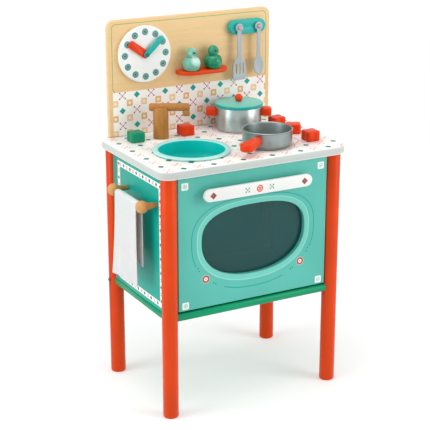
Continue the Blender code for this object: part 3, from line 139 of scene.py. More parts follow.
# Cloth, in metres
TOWEL_TWIST = 0.010
TOWEL_THICKNESS = 0.0014
THREAD_PITCH = 0.0011

# Floor and light; a strength of 1 is white
FLOOR_NEAR = 0.5
FLOOR_FAR = 4.5
FLOOR_LIFT_NEAR = 0.25
FLOOR_LIFT_FAR = 0.53
WORLD_FILL = 0.56

# Shares
WINDOW_UPPER_SQUARENESS = 2.7
WINDOW_LOWER_SQUARENESS = 2.25
GRAIN_ALONG = {"x": (1.0, 12.0, 12.0), "y": (12.0, 1.0, 12.0), "z": (12.0, 12.0, 1.0)}


def linear(colour):
    """An 8-bit sRGB colour, as the linear one that a shader takes."""
    channels = []
    for value in colour:
        share = value / 255
        low = share / 12.92
        high = ((share + 0.055) / 1.055) ** 2.4
        channels.append(low if share <= 0.04045 else high)
    return (*channels, 1.0)


def shaded(colour, share):
    """The colour made lighter, for a share above 1, or darker."""
    return tuple(min(255.0, value * share) for value in colour)


def paler(colour, share=0.35):
    """The colour brought part of the way to white."""
    return tuple(value + (255 - value) * share for value in colour)


class Field:
    """A number that varies over a surface, held as the output of a shader node."""

    def __init__(self, paint, socket):
        self.paint = paint
        self.socket = socket

    def made(self, operation, *others, clamp=False):
        node = self.paint.add("ShaderNodeMath")
        node.operation = operation
        node.use_clamp = clamp
        for socket, value in zip(node.inputs, (self, *others)):
            self.paint.feed(socket, value)
        return Field(self.paint, node.outputs[0])

    def __add__(self, other):
        return self.made("ADD", other)

    def __sub__(self, other):
        return self.made("SUBTRACT", other)

    def __mul__(self, other):
        return self.made("MULTIPLY", other)

    def __truediv__(self, other):
        return self.made("DIVIDE", other)

    def __pow__(self, other):
        return self.made("POWER", other)

    def __abs__(self):
        return self.made("ABSOLUTE")

    def least(self, other):
        return self.made("MINIMUM", other)

    def most(self, other):
        return self.made("MAXIMUM", other)

    def root(self):
        return self.made("SQRT")

    def from_nearest(self, pitch):
        """How far it is from the nearest whole multiple of the pitch."""
        return self.made("PINGPONG", pitch / 2)

    def nearest(self, pitch):
        """Which whole multiple of the pitch is nearest."""
        return (self / pitch + 0.5).made("FLOOR")

    def is_odd(self):
        return self.made("PINGPONG", 1.0)

    def above(self, other):
        return self.made("GREATER_THAN", other)

    def below(self, other):
        return self.made("LESS_THAN", other)

    def inside(self, softness=PRINT_EDGE):
        """1 where a distance to an outline is negative, 0 where it is positive."""
        return (self * (-1.0 / softness) + 0.5).made("ADD", 0.0, clamp=True)


def span(u, v):
    """Distance from the place where both are zero."""
    return (u * u + v * v).root()


def diamond(u, v, reach):
    return (abs(u) + abs(v) - reach) * 0.7071


def disc(u, v, radius):
    return span(u, v) - radius


def ring(u, v, radius, width):
    return abs(disc(u, v, radius)) - width / 2


def oblong(u, v, half_width, half_height):
    return (abs(u) - half_width).most(abs(v) - half_height)


def soft_oblong(u, v, half_width, half_height, radius):
    across = (abs(u) - (half_width - radius)).most(0.0)
    along = (abs(v) - (half_height - radius)).most(0.0)
    return span(across, along) - radius


def cross_ends(u, v, spacing, radius):
    """The middle dot and the four end ones of an X, from folded distances to its middle."""
    return span(u, v).least(span(u - 2 * spacing, v - 2 * spacing)) - radius


def cross_arms(u, v, spacing, radius):
    """The four dots between them."""
    return span(u - spacing, v - spacing) - radius


def small_cross(u, v, spacing, radius):
    """Five dots in an X, from folded distances to its middle."""
    return span(u, v).least(span(u - spacing, v - spacing)) - radius


class Paint:
    """A material under construction, with its prints laid one over the other."""

    def __init__(self, name):
        self.material = bpy.data.materials.new(name)
        self.material.use_nodes = True
        self.tree = self.material.node_tree
        self.shader = self.tree.nodes["Principled BSDF"]
        self.position = self.add("ShaderNodeTexCoord").outputs["Object"]
        parts = self.add("ShaderNodeSeparateXYZ")
        self.feed(parts.inputs[0], self.position)
        self.x, self.y, self.z = (Field(self, socket) for socket in parts.outputs)
        self.colour = None

    def add(self, kind):
        return self.tree.nodes.new(kind)

    def feed(self, socket, value):
        if isinstance(value, Field):
            self.tree.links.new(socket, value.socket)
        elif isinstance(value, bpy.types.NodeSocket):
            self.tree.links.new(socket, value)
        else:
            socket.default_value = value

    def noise(self, scale, detail=2.0, stretch=(1.0, 1.0, 1.0), distortion=0.0):
        mapping = self.add("ShaderNodeMapping")
        mapping.inputs["Scale"].default_value = stretch
        self.feed(mapping.inputs["Vector"], self.position)
        node = self.add("ShaderNodeTexNoise")
        self.feed(node.inputs["Vector"], mapping.outputs[0])
        node.inputs["Scale"].default_value = scale
        node.inputs["Detail"].default_value = detail
        node.inputs["Distortion"].default_value = distortion
        return Field(self, node.outputs["Fac"])

    def mix(self, share, first, second):
        node = self.add("ShaderNodeMix")
        node.data_type = "RGBA"
        self.feed(node.inputs[0], share)
        self.feed(node.inputs[6], linear(first) if isinstance(first, tuple) else first)
        self.feed(node.inputs[7], linear(second) if isinstance(second, tuple) else second)
        return node.outputs[2]

    def ramped(self, field, low, high):
        """The field brought to 0 at low and 1 at high."""
        node = self.add("ShaderNodeMapRange")
        self.feed(node.inputs["Value"], field)
        node.inputs["From Min"].default_value = low
        node.inputs["From Max"].default_value = high
        return Field(self, node.outputs[0])

    def lay(self, distance, colour, where=None, strength=1.0, softness=PRINT_EDGE):
        """Prints a colour inside an outline, and only where the second field is 1."""
        share = distance.inside(softness)
        if where is not None:
            share = share * where
        if strength != 1.0:
            share = share * strength
        self.colour = self.mix(share, self.colour, colour)

    def finish(
        self, roughness, coat=0.0, spread=0.06, height=None, depth=PAINT_DEPTH, gloss=0.16, **sockets
    ):
        """Joins colour, roughness and bump to the shader."""
        self.feed(self.shader.inputs["Base Color"], self.colour)
        cloud = self.noise(70.0, 3.0)
        rough = self.ramped(cloud, 0.3, 0.7) * (2 * spread) + (roughness - spread)
        self.feed(self.shader.inputs["Roughness"], rough)
        self.shader.inputs["Specular IOR Level"].default_value = gloss
        self.shader.inputs["Coat Weight"].default_value = coat
        self.shader.inputs["Coat Roughness"].default_value = 0.18
        for socket, value in sockets.items():
            self.shader.inputs[socket.replace("_", " ")].default_value = value
        bump = self.add("ShaderNodeBump")
        bump.inputs["Strength"].default_value = 1.0
        bump.inputs["Distance"].default_value = depth
        self.feed(bump.inputs["Height"], height if height is not None else self.noise(420.0, 2.0))
        self.feed(self.shader.inputs["Normal"], bump.outputs[0])
        return self.material


def satin(name, colour, along="z", variation=0.035):
    """A painted wood ground: a faint cloud in its colour and the grain just felt through it."""
    paint = Paint(name)
    cloud = paint.noise(9.0, 4.0)
    paint.colour = paint.mix(
        paint.ramped(cloud, 0.3, 0.7), shaded(colour, 1 - variation), shaded(colour, 1 + variation)
    )
    grain = paint.noise(90.0, 3.0, GRAIN_ALONG[along])
    peel = paint.noise(520.0, 1.0)
    return paint, grain * 0.7 + peel * 0.3


def painted(name, colour, along="z", roughness=0.36, coat=0.08):
    paint, height = satin(name, colour, along)
    return paint.finish(roughness, coat=coat, height=height)


def wooden(name, pale, dark, along="x", scale=16.0):
    """A clear-varnished wood ground: long streaks, a few broad bands and fine pores."""
    paint = Paint(name)
    bands = paint.noise(scale, 3.0, GRAIN_ALONG[along], 0.6)
    streaks = paint.noise(scale * 4.5, 4.0, GRAIN_ALONG[along])
    pores = paint.noise(scale * 14, 2.0, GRAIN_ALONG[along])
    share = paint.ramped(bands * 0.45 + streaks * 0.35 + pores * 0.2, 0.32, 0.68)
    paint.colour = paint.mix(share, pale, dark)
    return paint, streaks * 0.6 + pores * 0.4


def varnished(name, pale, dark, along="x", scale=16.0, roughness=0.4):
    paint, height = wooden(name, pale, dark, along, scale)
    return paint.finish(roughness, coat=0.08, height=height, depth=GRAIN_DEPTH)


def lay_tiles(paint, u, v, where, inks, squares=None):
    """Diamonds and dotted crosses by turns on a square lattice, with small squares between them."""
    diamond_ink, cross_ink = inks
    across = u.from_nearest(TILE_PITCH)
    up = v.from_nearest(TILE_ROW_PITCH)
    odd = (u.nearest(TILE_PITCH) + v.nearest(TILE_ROW_PITCH)).is_odd()
    even = odd * -1.0 + 1.0
    paint.lay(diamond(across, up, TILE_DIAMOND), diamond_ink, where * even)
    paint.lay(cross_arms(across, up, CROSS_SPACING, CROSS_ARM_DOT), paler(cross_ink), where * odd)
    paint.lay(cross_ends(across, up, CROSS_SPACING, CROSS_END_DOT), cross_ink, where * odd)
    if squares:
        shifted_u = u + TILE_PITCH / 2
        shifted_v = v + TILE_ROW_PITCH / 2
        half_across = shifted_u.from_nearest(TILE_PITCH)
        half_up = shifted_v.from_nearest(TILE_ROW_PITCH)
        odd_square = (shifted_u.nearest(TILE_PITCH) + shifted_v.nearest(TILE_ROW_PITCH)).is_odd()
        square = oblong(half_across, half_up, TILE_SQUARE, TILE_SQUARE)
        core = oblong(half_across, half_up, TILE_SQUARE_CORE, TILE_SQUARE_CORE)
        paint.lay(square, squares[0], where)
        paint.lay(square, squares[1], where * odd_square, 0.4)
        paint.lay(core, squares[1], where)


def board_material():
    """Pale pine with a printed tile band at its foot and a green line round the rest."""
    low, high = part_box("backboard")
    paint, height = wooden("board_print", PINE, PINE_DARK, "x", 9.0)
    middle = (low.x + high.x) / 2
    u = paint.x - middle
    front = paint.y.below(low.y + FACE_SKIN)
    half_width = (high.x - low.x) / 2 - BOARD_INSET
    top = high.z - BOARD_TOP_INSET
    frame_z = (top + TILE_ZONE_TOP) / 2
    line = soft_oblong(u, paint.z - frame_z, half_width, (top - TILE_ZONE_TOP) / 2, BOARD_INSET)
    paint.lay(abs(line) - 0.0007, INK_GREEN, front * paint.z.above(TILE_ZONE_TOP + 0.001))
    zone = (oblong(u, paint.z - TILE_ZONE_TOP + 0.1, half_width, 0.1)).inside() * front
    paint.colour = paint.mix(zone, paint.colour, TILE_WHITE)
    inks = (INK_TEAL, INK_MAROON)
    lay_tiles(paint, u - TILE_SHIFT, paint.z - TILE_TOP_ROW, zone, inks, (INK_TAN, INK_PALE_TAN))
    return paint.finish(0.42, coat=0.06, height=height, depth=GRAIN_DEPTH)


def worktop_material():
    """White paint with the tile print on top, hob rings and a knob panel, and painted shade along the
    middle of its edges.
    """
    low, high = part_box("worktop")
    paint, height = satin("worktop_print", WHITE, "x", 0.015)
    top = paint.z.above(high.z - FACE_SKIN)
    # Painted shade: the edges are laid greyer about the middle of their height.
    edge = abs(paint.z - (low.z + high.z) / 2) - 0.0065
    paint.lay(edge, EDGE_SHADE_GREY, softness=0.003)
    paint.colour = paint.mix(top, paint.colour, TILE_WHITE)
    u = paint.x - (low.x + high.x) / 2 - TILE_SHIFT
    v = paint.y - high.y
    lay_tiles(paint, u, v, top, (INK_DARK_TEAL, INK_PINK))
    for node in ("pot_body", "pan_body"):
        corner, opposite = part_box(node)
        x = paint.x - (corner.x + opposite.x) / 2
        y = paint.y - (corner.y + opposite.y) / 2
        paint.lay(disc(x, y, HOB_DISC), TILE_WHITE, top)
        for radius in HOB_RINGS:
            paint.lay(ring(x, y, radius, HOB_LINE), INK_RED, top)
    corner, opposite = knob_row()
    x = paint.x - (corner.x + opposite.x) / 2
    y = paint.y - (corner.y + opposite.y) / 2
    half_width = (opposite.x - corner.x) / 2 + 0.004
    half_depth = (opposite.y - corner.y) / 2 + 0.006
    panel = soft_oblong(x, y, half_width, half_depth, 0.012)
    paint.lay(panel, TILE_WHITE, top)
    paint.lay(abs(panel) - 0.0006, INK_RED, top)
    paint.lay(abs(panel + 0.003) - 0.0003, INK_PINK, top)
    return paint.finish(0.33, coat=0.08, height=height)


def knob_row():
    """The lowest and highest corners of the three hob knobs together."""
    boxes = [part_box("hob_knob_" + place) for place in ("front", "middle", "back")]
    low = Vector([min(box[0][axis] for box in boxes) for axis in range(3)])
    high = Vector([max(box[1][axis] for box in boxes) for axis in range(3)])
    return low, high


def window_shape(u, v, grown_wide, grown_up, grown_down):
    """Distance from the window's outline, grown by three different amounts."""
    upper = v.above(0.0)
    power = upper * (WINDOW_UPPER_SQUARENESS - WINDOW_LOWER_SQUARENESS) + WINDOW_LOWER_SQUARENESS
    low_height = WINDOW_LOWER_HEIGHT + grown_down
    height = upper * (WINDOW_UPPER_HEIGHT + grown_up - low_height) + low_height
    across = (abs(u) / (WINDOW_HALF_WIDTH + grown_wide)) ** power
    along = (abs(v) / height) ** power
    inverse = power.made("POWER", -1.0)
    size = (across + along) ** inverse
    return span(u, v) - span(u, v) / size


def door_material():
    """Light teal with a pale line round the window, broken dark arcs and small corner marks."""
    low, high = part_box("oven_door")
    paint, height = satin("door_print", DOOR_TEAL, "x", 0.02)
    middle = (low.x + high.x) / 2
    u = paint.x - middle
    v = paint.z - WINDOW_MIDDLE_HEIGHT
    front = paint.y.below(low.y + FACE_SKIN)
    band = window_shape(u, v, 0.0092, 0.0092, 0.0105)
    paint.lay(band, DOOR_PALE, front)
    paint.lay(abs(band) - 0.0010, INK_MINT, front, 0.7)
    arcs = abs(window_shape(u, v, 0.0208, 0.0160, 0.0260)) - 0.0009
    reach = abs(u)
    sides = reach.above(0.086) * v.above(-0.044)
    foot = reach.below(0.064) * v.below(0.0)
    head = v.above(0.0) * reach.below(0.105)
    paint.lay(arcs, INK_TEAL, front * sides.most(foot).most(head))
    for across, up in ((0.1177, -0.0533), (0.1202, -0.0474), (0.0823, -0.0841), (0.0868, -0.0820)):
        paint.lay(disc(reach - across, v - up, 0.0013), INK_DARK_TEAL, front)
    across = reach - RING_MARK_ACROSS
    up = v + RING_MARK_DROP
    paint.lay(disc(across, up, 0.0086), INK_MINT, front)
    paint.lay(disc(across, up, 0.0077), INK_BRICK, front)
    paint.lay(disc(across, up, 0.0038), TILE_WHITE, front)
    paint.lay(diamond(across, up, 0.0018), INK_BRICK, front)
    corner_u = reach - CORNER_MARK_ACROSS
    for corner_z in (high.z - 0.018, low.z + 0.0104):
        up = paint.z - corner_z
        paint.lay(soft_oblong(corner_u, up, 0.0070, 0.0070, 0.002), TILE_WHITE, front)
        paint.lay(ring(corner_u, up, 0.0036, 0.0019), INK_MINT, front)
        paint.lay(disc(corner_u, up, 0.0013), INK_TEAL, front)
    return paint.finish(0.36, coat=0.08, height=height)


def lay_border(paint, along, across, outer):
    """A white strip with diamonds and small crosses by turns along its middle."""
    strip = across.inside() * outer
    paint.colour = paint.mix(strip, paint.colour, TILE_WHITE)
    near = along.from_nearest(BORDER_PITCH)
    odd = along.nearest(BORDER_PITCH).is_odd()
    even = odd * -1.0 + 1.0
    middle = abs(across + BORDER_HALF_WIDTH)
    paint.lay(diamond(near, middle, BORDER_DIAMOND), INK_DARK_TEAL, strip * even)
    paint.lay(small_cross(near, middle, 0.0022, 0.0011), INK_MAROON, strip * odd)


def side_material(name, side):
    """Teal with a printed white border a few millimetres in from its edges."""
    node = "side_panel_" + side
    low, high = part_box(node)
    paint, height = satin(name, SIDE_TEAL, "z", 0.03)
    outer = paint.x.below(low.x + FACE_SKIN) if side == "left" else paint.x.above(high.x - FACE_SKIN)
    middle_y = (low.y + high.y) / 2
    middle_z = (low.z + high.z) / 2
    head = abs(paint.z - (high.z - BORDER_HEAD_INSET)) - BORDER_HALF_WIDTH
    foot = abs(paint.z - (low.z + BORDER_FOOT_INSET)) - BORDER_HALF_WIDTH
    back = abs(paint.y - (high.y - BORDER_BACK_INSET)) - BORDER_HALF_WIDTH
    front = abs(paint.y - (low.y + BORDER_FRONT_INSET)) - BORDER_FRONT_HALF_WIDTH
    within_height = (paint.z - (high.z - 0.0148)).most(paint.z * -1.0 + (low.z + 0.0076))
    within_depth = paint.y - (high.y - 0.0206)
    for across in (head, foot):
        lay_border(paint, paint.y - middle_y, across.most(within_depth), outer)
    for across in (back, front):
        lay_border(paint, paint.z - middle_z, across.most(within_height), outer)
    line = abs(paint.z - (high.z - 0.0088)) - 0.0009
    paint.lay(line, INK_DARK_TEAL, outer)
    return paint.finish(0.36, coat=0.08, height=height)


def bar_material():
    """Off-white paint with a row of small marks."""
    low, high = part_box("door_handle_bar")
    paint, height = satin("handle_print", WHITE, "x", 0.015)
    u = paint.x - (low.x + high.x) / 2
    v = paint.z - (low.z + high.z) / 2
    front = paint.y.below(low.y + FACE_SKIN)
    paint.lay(diamond(abs(u) - 0.098, v, 0.0068), INK_BROWN, front)
    paint.lay(diamond(abs(u) - 0.098, v, 0.0022), INK_PINK, front)
    paint.lay(disc(u, v, 0.0068), INK_RED, front)
    near = u.from_nearest(0.0036)
    up = v.from_nearest(0.0036)
    dots = (span(near, up) - 0.0011).most(disc(u, v, 0.0052))
    paint.lay(dots, TILE_WHITE, front)
    side = abs(abs(u) - 0.026)
    paint.lay(small_cross(side, abs(v), 0.0032, 0.0017), INK_GREY_TEAL, front)
    return paint.finish(0.36, coat=0.08, height=height)


def dial_material():
    """White paint with twelve round hour marks, each with a darker centre."""
    low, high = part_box("clock_dial")
    paint, height = satin("dial_print", WHITE, "x", 0.012)
    u = paint.x - (low.x + high.x) / 2
    v = paint.z - (low.z + high.z) / 2
    front = paint.y.below(low.y + FACE_SKIN)
    turn = v.made("ARCTAN2", u)
    step = math.pi / 6
    near = turn.from_nearest(step)
    away = span(u, v)
    along = away * near.made("COSINE") - DIAL_MARK_RADIUS
    across = away * near.made("SINE")
    mark = span(along, across)
    paint.lay(mark - 0.0068, INK_GREY_TEAL, front)
    paint.lay(abs(mark - 0.0046) - 0.0005, shaded(INK_GREY_TEAL, 0.75), front)
    paint.lay(mark - 0.0020, shaded(INK_GREY_TEAL, 0.55), front)
    return paint.finish(0.36, coat=0.08, height=height)


def sink_material():
    """Satin plastic, teal inside and pale mint on the rim."""
    low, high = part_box("sink_bowl")
    paint = Paint("sink_plastic_finish")
    cloud = paint.noise(14.0, 3.0)
    paint.colour = paint.mix(
        paint.ramped(cloud, 0.3, 0.7), shaded(SINK_TEAL, 0.98), shaded(SINK_TEAL, 1.03)
    )
    x = paint.x - (low.x + high.x) / 2
    y = paint.y - (low.y + high.y) / 2
    rim = (span(x, y) - 0.0635) * -1.0
    paint.lay(rim, RIM_MINT, paint.z.above(high.z - 0.0075))
    return paint.finish(0.34, coat=0.12, spread=0.04, gloss=0.2)


def lid_material():
    """Mint paint with a darker edge."""
    low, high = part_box("pot_lid")
    paint, height = satin("lid_finish", LID_MINT, "x", 0.02)
    x = paint.x - (low.x + high.x) / 2
    y = paint.y - (low.y + high.y) / 2
    radius = (high.x - low.x) / 2
    paint.lay((span(x, y) - radius + 0.0012) * -1.0, shaded(RACK_TEAL, 0.92), softness=0.001)
    return paint.finish(0.34, coat=0.08, height=height)


def glazed(name, colour, painted_highlight_share):
    """A glossy glaze with soft paler streaks laid by noise, as painted highlights."""
    paint = Paint(name)
    cloud = paint.noise(34.0, 3.0, (1.0, 1.0, 0.6), 1.4)
    # Painted highlight: paler streaks from the noise, over a ground a little darker than the colour.
    streaks = paint.ramped(cloud, 0.50, 0.66)
    pale = paler(colour, painted_highlight_share * 1.6)
    paint.colour = paint.mix(streaks, shaded(colour, 1 - painted_highlight_share * 0.3), pale)
    return paint.finish(0.14, coat=0.2, spread=0.03, gloss=0.3, height=cloud, depth=0.00005)


def metal_material(name, centre, colour=METAL, roughness=0.33, painted_light_radius=None):
    """Turned metal: fine rings round an upright middle line, and painted light that makes it a little
    lighter within the given radius.
    """
    paint = Paint(name)
    x = paint.x - centre[0]
    y = paint.y - centre[1]
    away = span(x, y)
    rings = paint.add("ShaderNodeTexNoise")
    rings.noise_dimensions = "2D"
    vector = paint.add("ShaderNodeCombineXYZ")
    paint.feed(vector.inputs[0], away)
    paint.feed(vector.inputs[1], paint.z)
    paint.feed(rings.inputs["Vector"], vector.outputs[0])
    rings.inputs["Scale"].default_value = 2200.0
    rings.inputs["Detail"].default_value = 2.0
    lines = Field(paint, rings.outputs["Fac"])
    cloud = paint.noise(40.0, 3.0)
    share = paint.ramped(lines * 0.6 + cloud * 0.4, 0.3, 0.7)
    paint.colour = paint.mix(share, shaded(colour, 0.93), shaded(colour, 1.04))
    if painted_light_radius:
        # Painted light: all that lies nearer the middle line than this radius, the vessel's inside among
        # it, is laid a little lighter.
        paint.lay(away - painted_light_radius, shaded(colour, 1.08))
    return paint.finish(roughness, spread=0.02, height=lines, depth=0.000004, Metallic=0.85)


def pane_material():
    """Smoked clear plastic."""
    paint = Paint("pane_finish")
    cloud = paint.noise(5.0, 2.0)
    paint.colour = paint.mix(paint.ramped(cloud, 0.3, 0.7), shaded(PANE, 0.94), shaded(PANE, 1.06))
    material = paint.finish(0.12, spread=0.02, height=cloud, depth=0.00002, gloss=0.4, Alpha=0.5)
    material.surface_render_method = "BLENDED"
    return material


def cloth_material():
    """White woven cotton: crossing threads, a little fuzz and soft shading between threads."""
    paint = Paint("towel_weave")
    thread = THREAD_PITCH
    across = (paint.y.from_nearest(thread) / (thread / 2)) ** 2.0
    along = (paint.z.from_nearest(thread) / (thread / 2)) ** 2.0
    over = (paint.y.nearest(thread) + paint.z.nearest(thread)).is_odd()
    weave = over * across + (over * -1.0 + 1.0) * along
    fuzz = paint.noise(900.0, 2.0)
    cloud = paint.noise(12.0, 3.0)
    share = paint.ramped(weave * 0.6 + cloud * 0.4, 0.0, 0.9)
    paint.colour = paint.mix(share, CLOTH_WHITE, shaded(CLOTH_WHITE, 0.93))
    return paint.finish(
        0.92,
        spread=0.03,
        height=weave * -0.6 + fuzz * 0.4,
        depth=0.00025,
        Sheen_Weight=0.3,
        Sheen_Roughness=0.5,
        Subsurface_Weight=0.7,
        Subsurface_Scale=0.004,
    )


def smooth(mesh, degrees=38):
    mesh.polygons.foreach_set("use_smooth", [True] * len(mesh.polygons))
    mesh.set_sharp_from_angle(angle=math.radians(degrees))
    mesh.update()


def piece_from(bm, name, body, material):
    mesh = bpy.data.meshes.new(name)
    bm.to_mesh(mesh)
    bm.free()
    for extra in ("custom_normal", "sharp_edge", "sharp_face"):
        if extra in mesh.attributes:
            mesh.attributes.remove(mesh.attributes[extra])
    mesh.materials.clear()
    mesh.materials.append(material)
    smooth(mesh)
    piece = bpy.data.objects.new(name, mesh)
    bpy.context.scene.collection.objects.link(piece)
    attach(piece, body)
    return piece


def refined(node, material, edge=0.0006, segments=2):
    """The CAD node's shape again, with clean flats and its sharp edges eased."""
    bm = bmesh.new()
    bm.from_mesh(frame["nodes"][node].data)
    bmesh.ops.remove_doubles(bm, verts=bm.verts, dist=0.00001)
    bmesh.ops.dissolve_limit(
        bm, angle_limit=math.radians(0.6), verts=bm.verts, edges=bm.edges, use_dissolve_boundaries=False
    )
    if edge:
        sharp = [e for e in bm.edges if len(e.link_faces) == 2 and e.calc_face_angle(0) > 0.7]
        bmesh.ops.bevel(
            bm,
            geom=sharp,
            offset=edge,
            segments=segments,
            profile=0.5,
            affect="EDGES",
            clamp_overlap=True,
        )
    bmesh.ops.recalc_face_normals(bm, faces=bm.faces)
    for face in bm.faces:
        face.material_index = 0
    piece = piece_from(bm, node + "_finish", bodies_by_node[node], material)
    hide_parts(node)
    return piece


def dress(nodes, material, edge=0.0006):
    for node in nodes:
        refined(node, material, edge)


def make_towel(material):
    """A finer cloth on the rail: soft folds that deepen towards its ends, and a twist at its foot."""
    low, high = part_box("towel")
    rod_low, rod_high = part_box("towel_rail_rod")
    rod_x = (rod_low.x + rod_high.x) / 2
    rod_z = (rod_low.z + rod_high.z) / 2
    bend = (rod_high.z - rod_low.z) / 2 + 0.0013
    outer_drop = rod_z - low.z - 0.0004
    inner_drop = outer_drop - 0.037
    half_turn = math.pi * bend
    length = outer_drop + half_turn + inner_drop
    middle_y = (low.y + high.y) / 2
    width = high.y - low.y - 0.0022
    rows = 150
    columns = 72
    bm = bmesh.new()
    grid = []
    for row in range(rows + 1):
        along = length * row / rows
        if along < outer_drop:
            hung = 1 - along / outer_drop
            out, up = bend, -outer_drop * hung
        elif along < outer_drop + half_turn:
            hung = 0.0
            turn = (along - outer_drop) / bend
            out, up = bend * math.cos(turn), bend * math.sin(turn)
        else:
            hung = (along - outer_drop - half_turn) / inner_drop
            out, up = -bend, -inner_drop * hung
        line = []
        for column in range(columns + 1):
            across = column / columns - 0.5
            turn = 2 * math.pi * 1.5 * across + math.radians(34)
            wave = 0.0013 * hung * math.sin(turn)
            ripple = 0.0005 * hung * math.sin(turn * 2.3 + 1.1 + 2.0 * hung)
            lean = 0.002 * hung if out > 0 else 0.0
            twist = TOWEL_TWIST * hung * hung * (across + 0.16) if out > 0 else 0.0
            bulge = math.copysign(0.4 * abs(wave), out)
            x = rod_x - (out + lean + twist + bulge + 0.6 * wave + ripple)
            sag = 0.0010 * hung * math.sin(math.pi * across * 2 + 0.4)
            y = middle_y + across * (width + 0.0015 * hung)
            line.append(bm.verts.new((x, y, rod_z + up + sag * hung)))
        grid.append(line)
    for lower, upper in zip(grid, grid[1:]):
        for left in range(columns):
            bm.faces.new((lower[left], lower[left + 1], upper[left + 1], upper[left]))
    bmesh.ops.recalc_face_normals(bm, faces=bm.faces)
    towel = piece_from(bm, "towel_cloth", "hanging_towel", material)
    solid = towel.modifiers.new("thickness", "SOLIDIFY")
    solid.thickness = TOWEL_THICKNESS
    solid.offset = 0
    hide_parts("towel")
    return towel


def make_beak(node, material):
    """A small dark beak on the front of a bird-shaped shaker."""
    low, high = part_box(node)
    x = (low.x + high.x) / 2
    y = (low.y + high.y) / 2
    z = high.z - 0.0088
    forward = Vector((0.03, -0.99, -0.06))
    bm = bmesh.new()
    bmesh.ops.create_cone(
        bm, cap_ends=True, segments=20, radius1=0.0032, radius2=0.0009, depth=0.0056
    )
    bmesh.ops.subdivide_edges(bm, edges=bm.edges, cuts=1)
    bmesh.ops.scale(bm, vec=(1.0, 0.72, 1.0), verts=bm.verts)
    turn = forward.to_track_quat("Z", "Y")
    bmesh.ops.rotate(bm, cent=(0, 0, 0), matrix=turn.to_matrix(), verts=bm.verts)
    bmesh.ops.translate(bm, vec=Vector((x, y, z)) + forward * 0.0124, verts=bm.verts)
    return piece_from(bm, node + "_beak", bodies_by_node[node], material)


def rays_that_show(tree):
    """1 for the rays that show a surface: those of the camera, of gloss and of clear things."""
    path = tree.nodes.new("ShaderNodeLightPath")
    first = tree.nodes.new("ShaderNodeMath")
    first.operation = "MAXIMUM"
    tree.links.new(first.inputs[0], path.outputs["Is Camera Ray"])
    tree.links.new(first.inputs[1], path.outputs["Is Glossy Ray"])
    second = tree.nodes.new("ShaderNodeMath")
    second.operation = "MAXIMUM"
    tree.links.new(second.inputs[0], first.outputs[0])
    tree.links.new(second.inputs[1], path.outputs["Is Transmission Ray"])
    return second.outputs[0]


def make_floor():
    """A pale floor that looks white and keeps a faint shadow."""
    bm = bmesh.new()
    bmesh.ops.create_grid(bm, x_segments=8, y_segments=8, size=14.0)
    mesh = bpy.data.meshes.new("floor")
    bm.to_mesh(mesh)
    bm.free()
    floor = bpy.data.objects.new("floor", mesh)
    floor.location = (0.0, 0.0, -0.0002)
    bpy.context.scene.collection.objects.link(floor)
    material = bpy.data.materials.new("floor_paper")
    material.use_nodes = True
    tree = material.node_tree
    shader = tree.nodes["Principled BSDF"]
    noise = tree.nodes.new("ShaderNodeTexNoise")
    noise.inputs["Scale"].default_value = 3.0
    ramp = tree.nodes.new("ShaderNodeMapRange")
    ramp.inputs["To Min"].default_value = 0.9
    ramp.inputs["To Max"].default_value = 0.97
    tree.links.new(ramp.inputs["Value"], noise.outputs["Fac"])
    tree.links.new(shader.inputs["Roughness"], ramp.outputs[0])
    shader.inputs["Base Color"].default_value = (0.88, 0.88, 0.88, 1.0)
    shader.inputs["Specular IOR Level"].default_value = 0.1
    coordinates = tree.nodes.new("ShaderNodeTexCoord")
    away = tree.nodes.new("ShaderNodeVectorMath")
    away.operation = "LENGTH"
    tree.links.new(away.inputs[0], coordinates.outputs["Object"])
    lift = tree.nodes.new("ShaderNodeMapRange")
    lift.inputs["From Min"].default_value = FLOOR_NEAR
    lift.inputs["From Max"].default_value = FLOOR_FAR
    lift.inputs["To Min"].default_value = FLOOR_LIFT_NEAR
    lift.inputs["To Max"].default_value = FLOOR_LIFT_FAR
    tree.links.new(lift.inputs["Value"], away.outputs["Value"])
    shown = rays_that_show(tree)
    strength = tree.nodes.new("ShaderNodeMath")
    strength.operation = "MULTIPLY"
    tree.links.new(strength.inputs[0], shown)
    tree.links.new(strength.inputs[1], lift.outputs[0])
    glow = tree.nodes.new("ShaderNodeEmission")
    glow.inputs["Color"].default_value = (1.0, 1.0, 1.0, 1.0)
    tree.links.new(glow.inputs["Strength"], strength.outputs[0])
    both = tree.nodes.new("ShaderNodeAddShader")
    tree.links.new(both.inputs[0], shader.outputs[0])
    tree.links.new(both.inputs[1], glow.outputs[0])
    output = tree.nodes["Material Output"]
    tree.links.new(output.inputs["Surface"], both.outputs[0])
    mesh.materials.append(material)


def make_world():
    world = bpy.data.worlds.new("studio")
    bpy.context.scene.world = world
    world.use_nodes = True
    tree = world.node_tree
    back = tree.nodes["Background"]
    back.inputs["Color"].default_value = (1.0, 1.0, 1.0, 1.0)
    shown = rays_that_show(tree)
    level = tree.nodes.new("ShaderNodeMapRange")
    level.inputs["To Min"].default_value = WORLD_FILL
    level.inputs["To Max"].default_value = 1.0
    tree.links.new(level.inputs["Value"], shown)
    tree.links.new(back.inputs["Strength"], level.outputs[0])


def make_lamp(name, place, aim, size, power):
    data = bpy.data.lights.new(name, "AREA")
    data.shape = "RECTANGLE"
    data.size = size[0]
    data.size_y = size[1]
    data.energy = power
    lamp = bpy.data.objects.new(name, data)
    lamp.location = place
    lamp.rotation_euler = (Vector(aim) - Vector(place)).to_track_quat("-Z", "Y").to_euler()
    bpy.context.scene.collection.objects.link(lamp)


def make_camera():
    data = bpy.data.cameras.new("view")
    data.sensor_width = 36.0
    data.lens = 111.49
    camera = bpy.data.objects.new("view", data)
    camera.location = (-1.19364, -2.17168, 1.16798)
    camera.rotation_euler = (math.pi / 2 - 0.320652778, 0.0, -0.501129712)
    bpy.context.scene.collection.objects.link(camera)
    bpy.context.scene.camera = camera


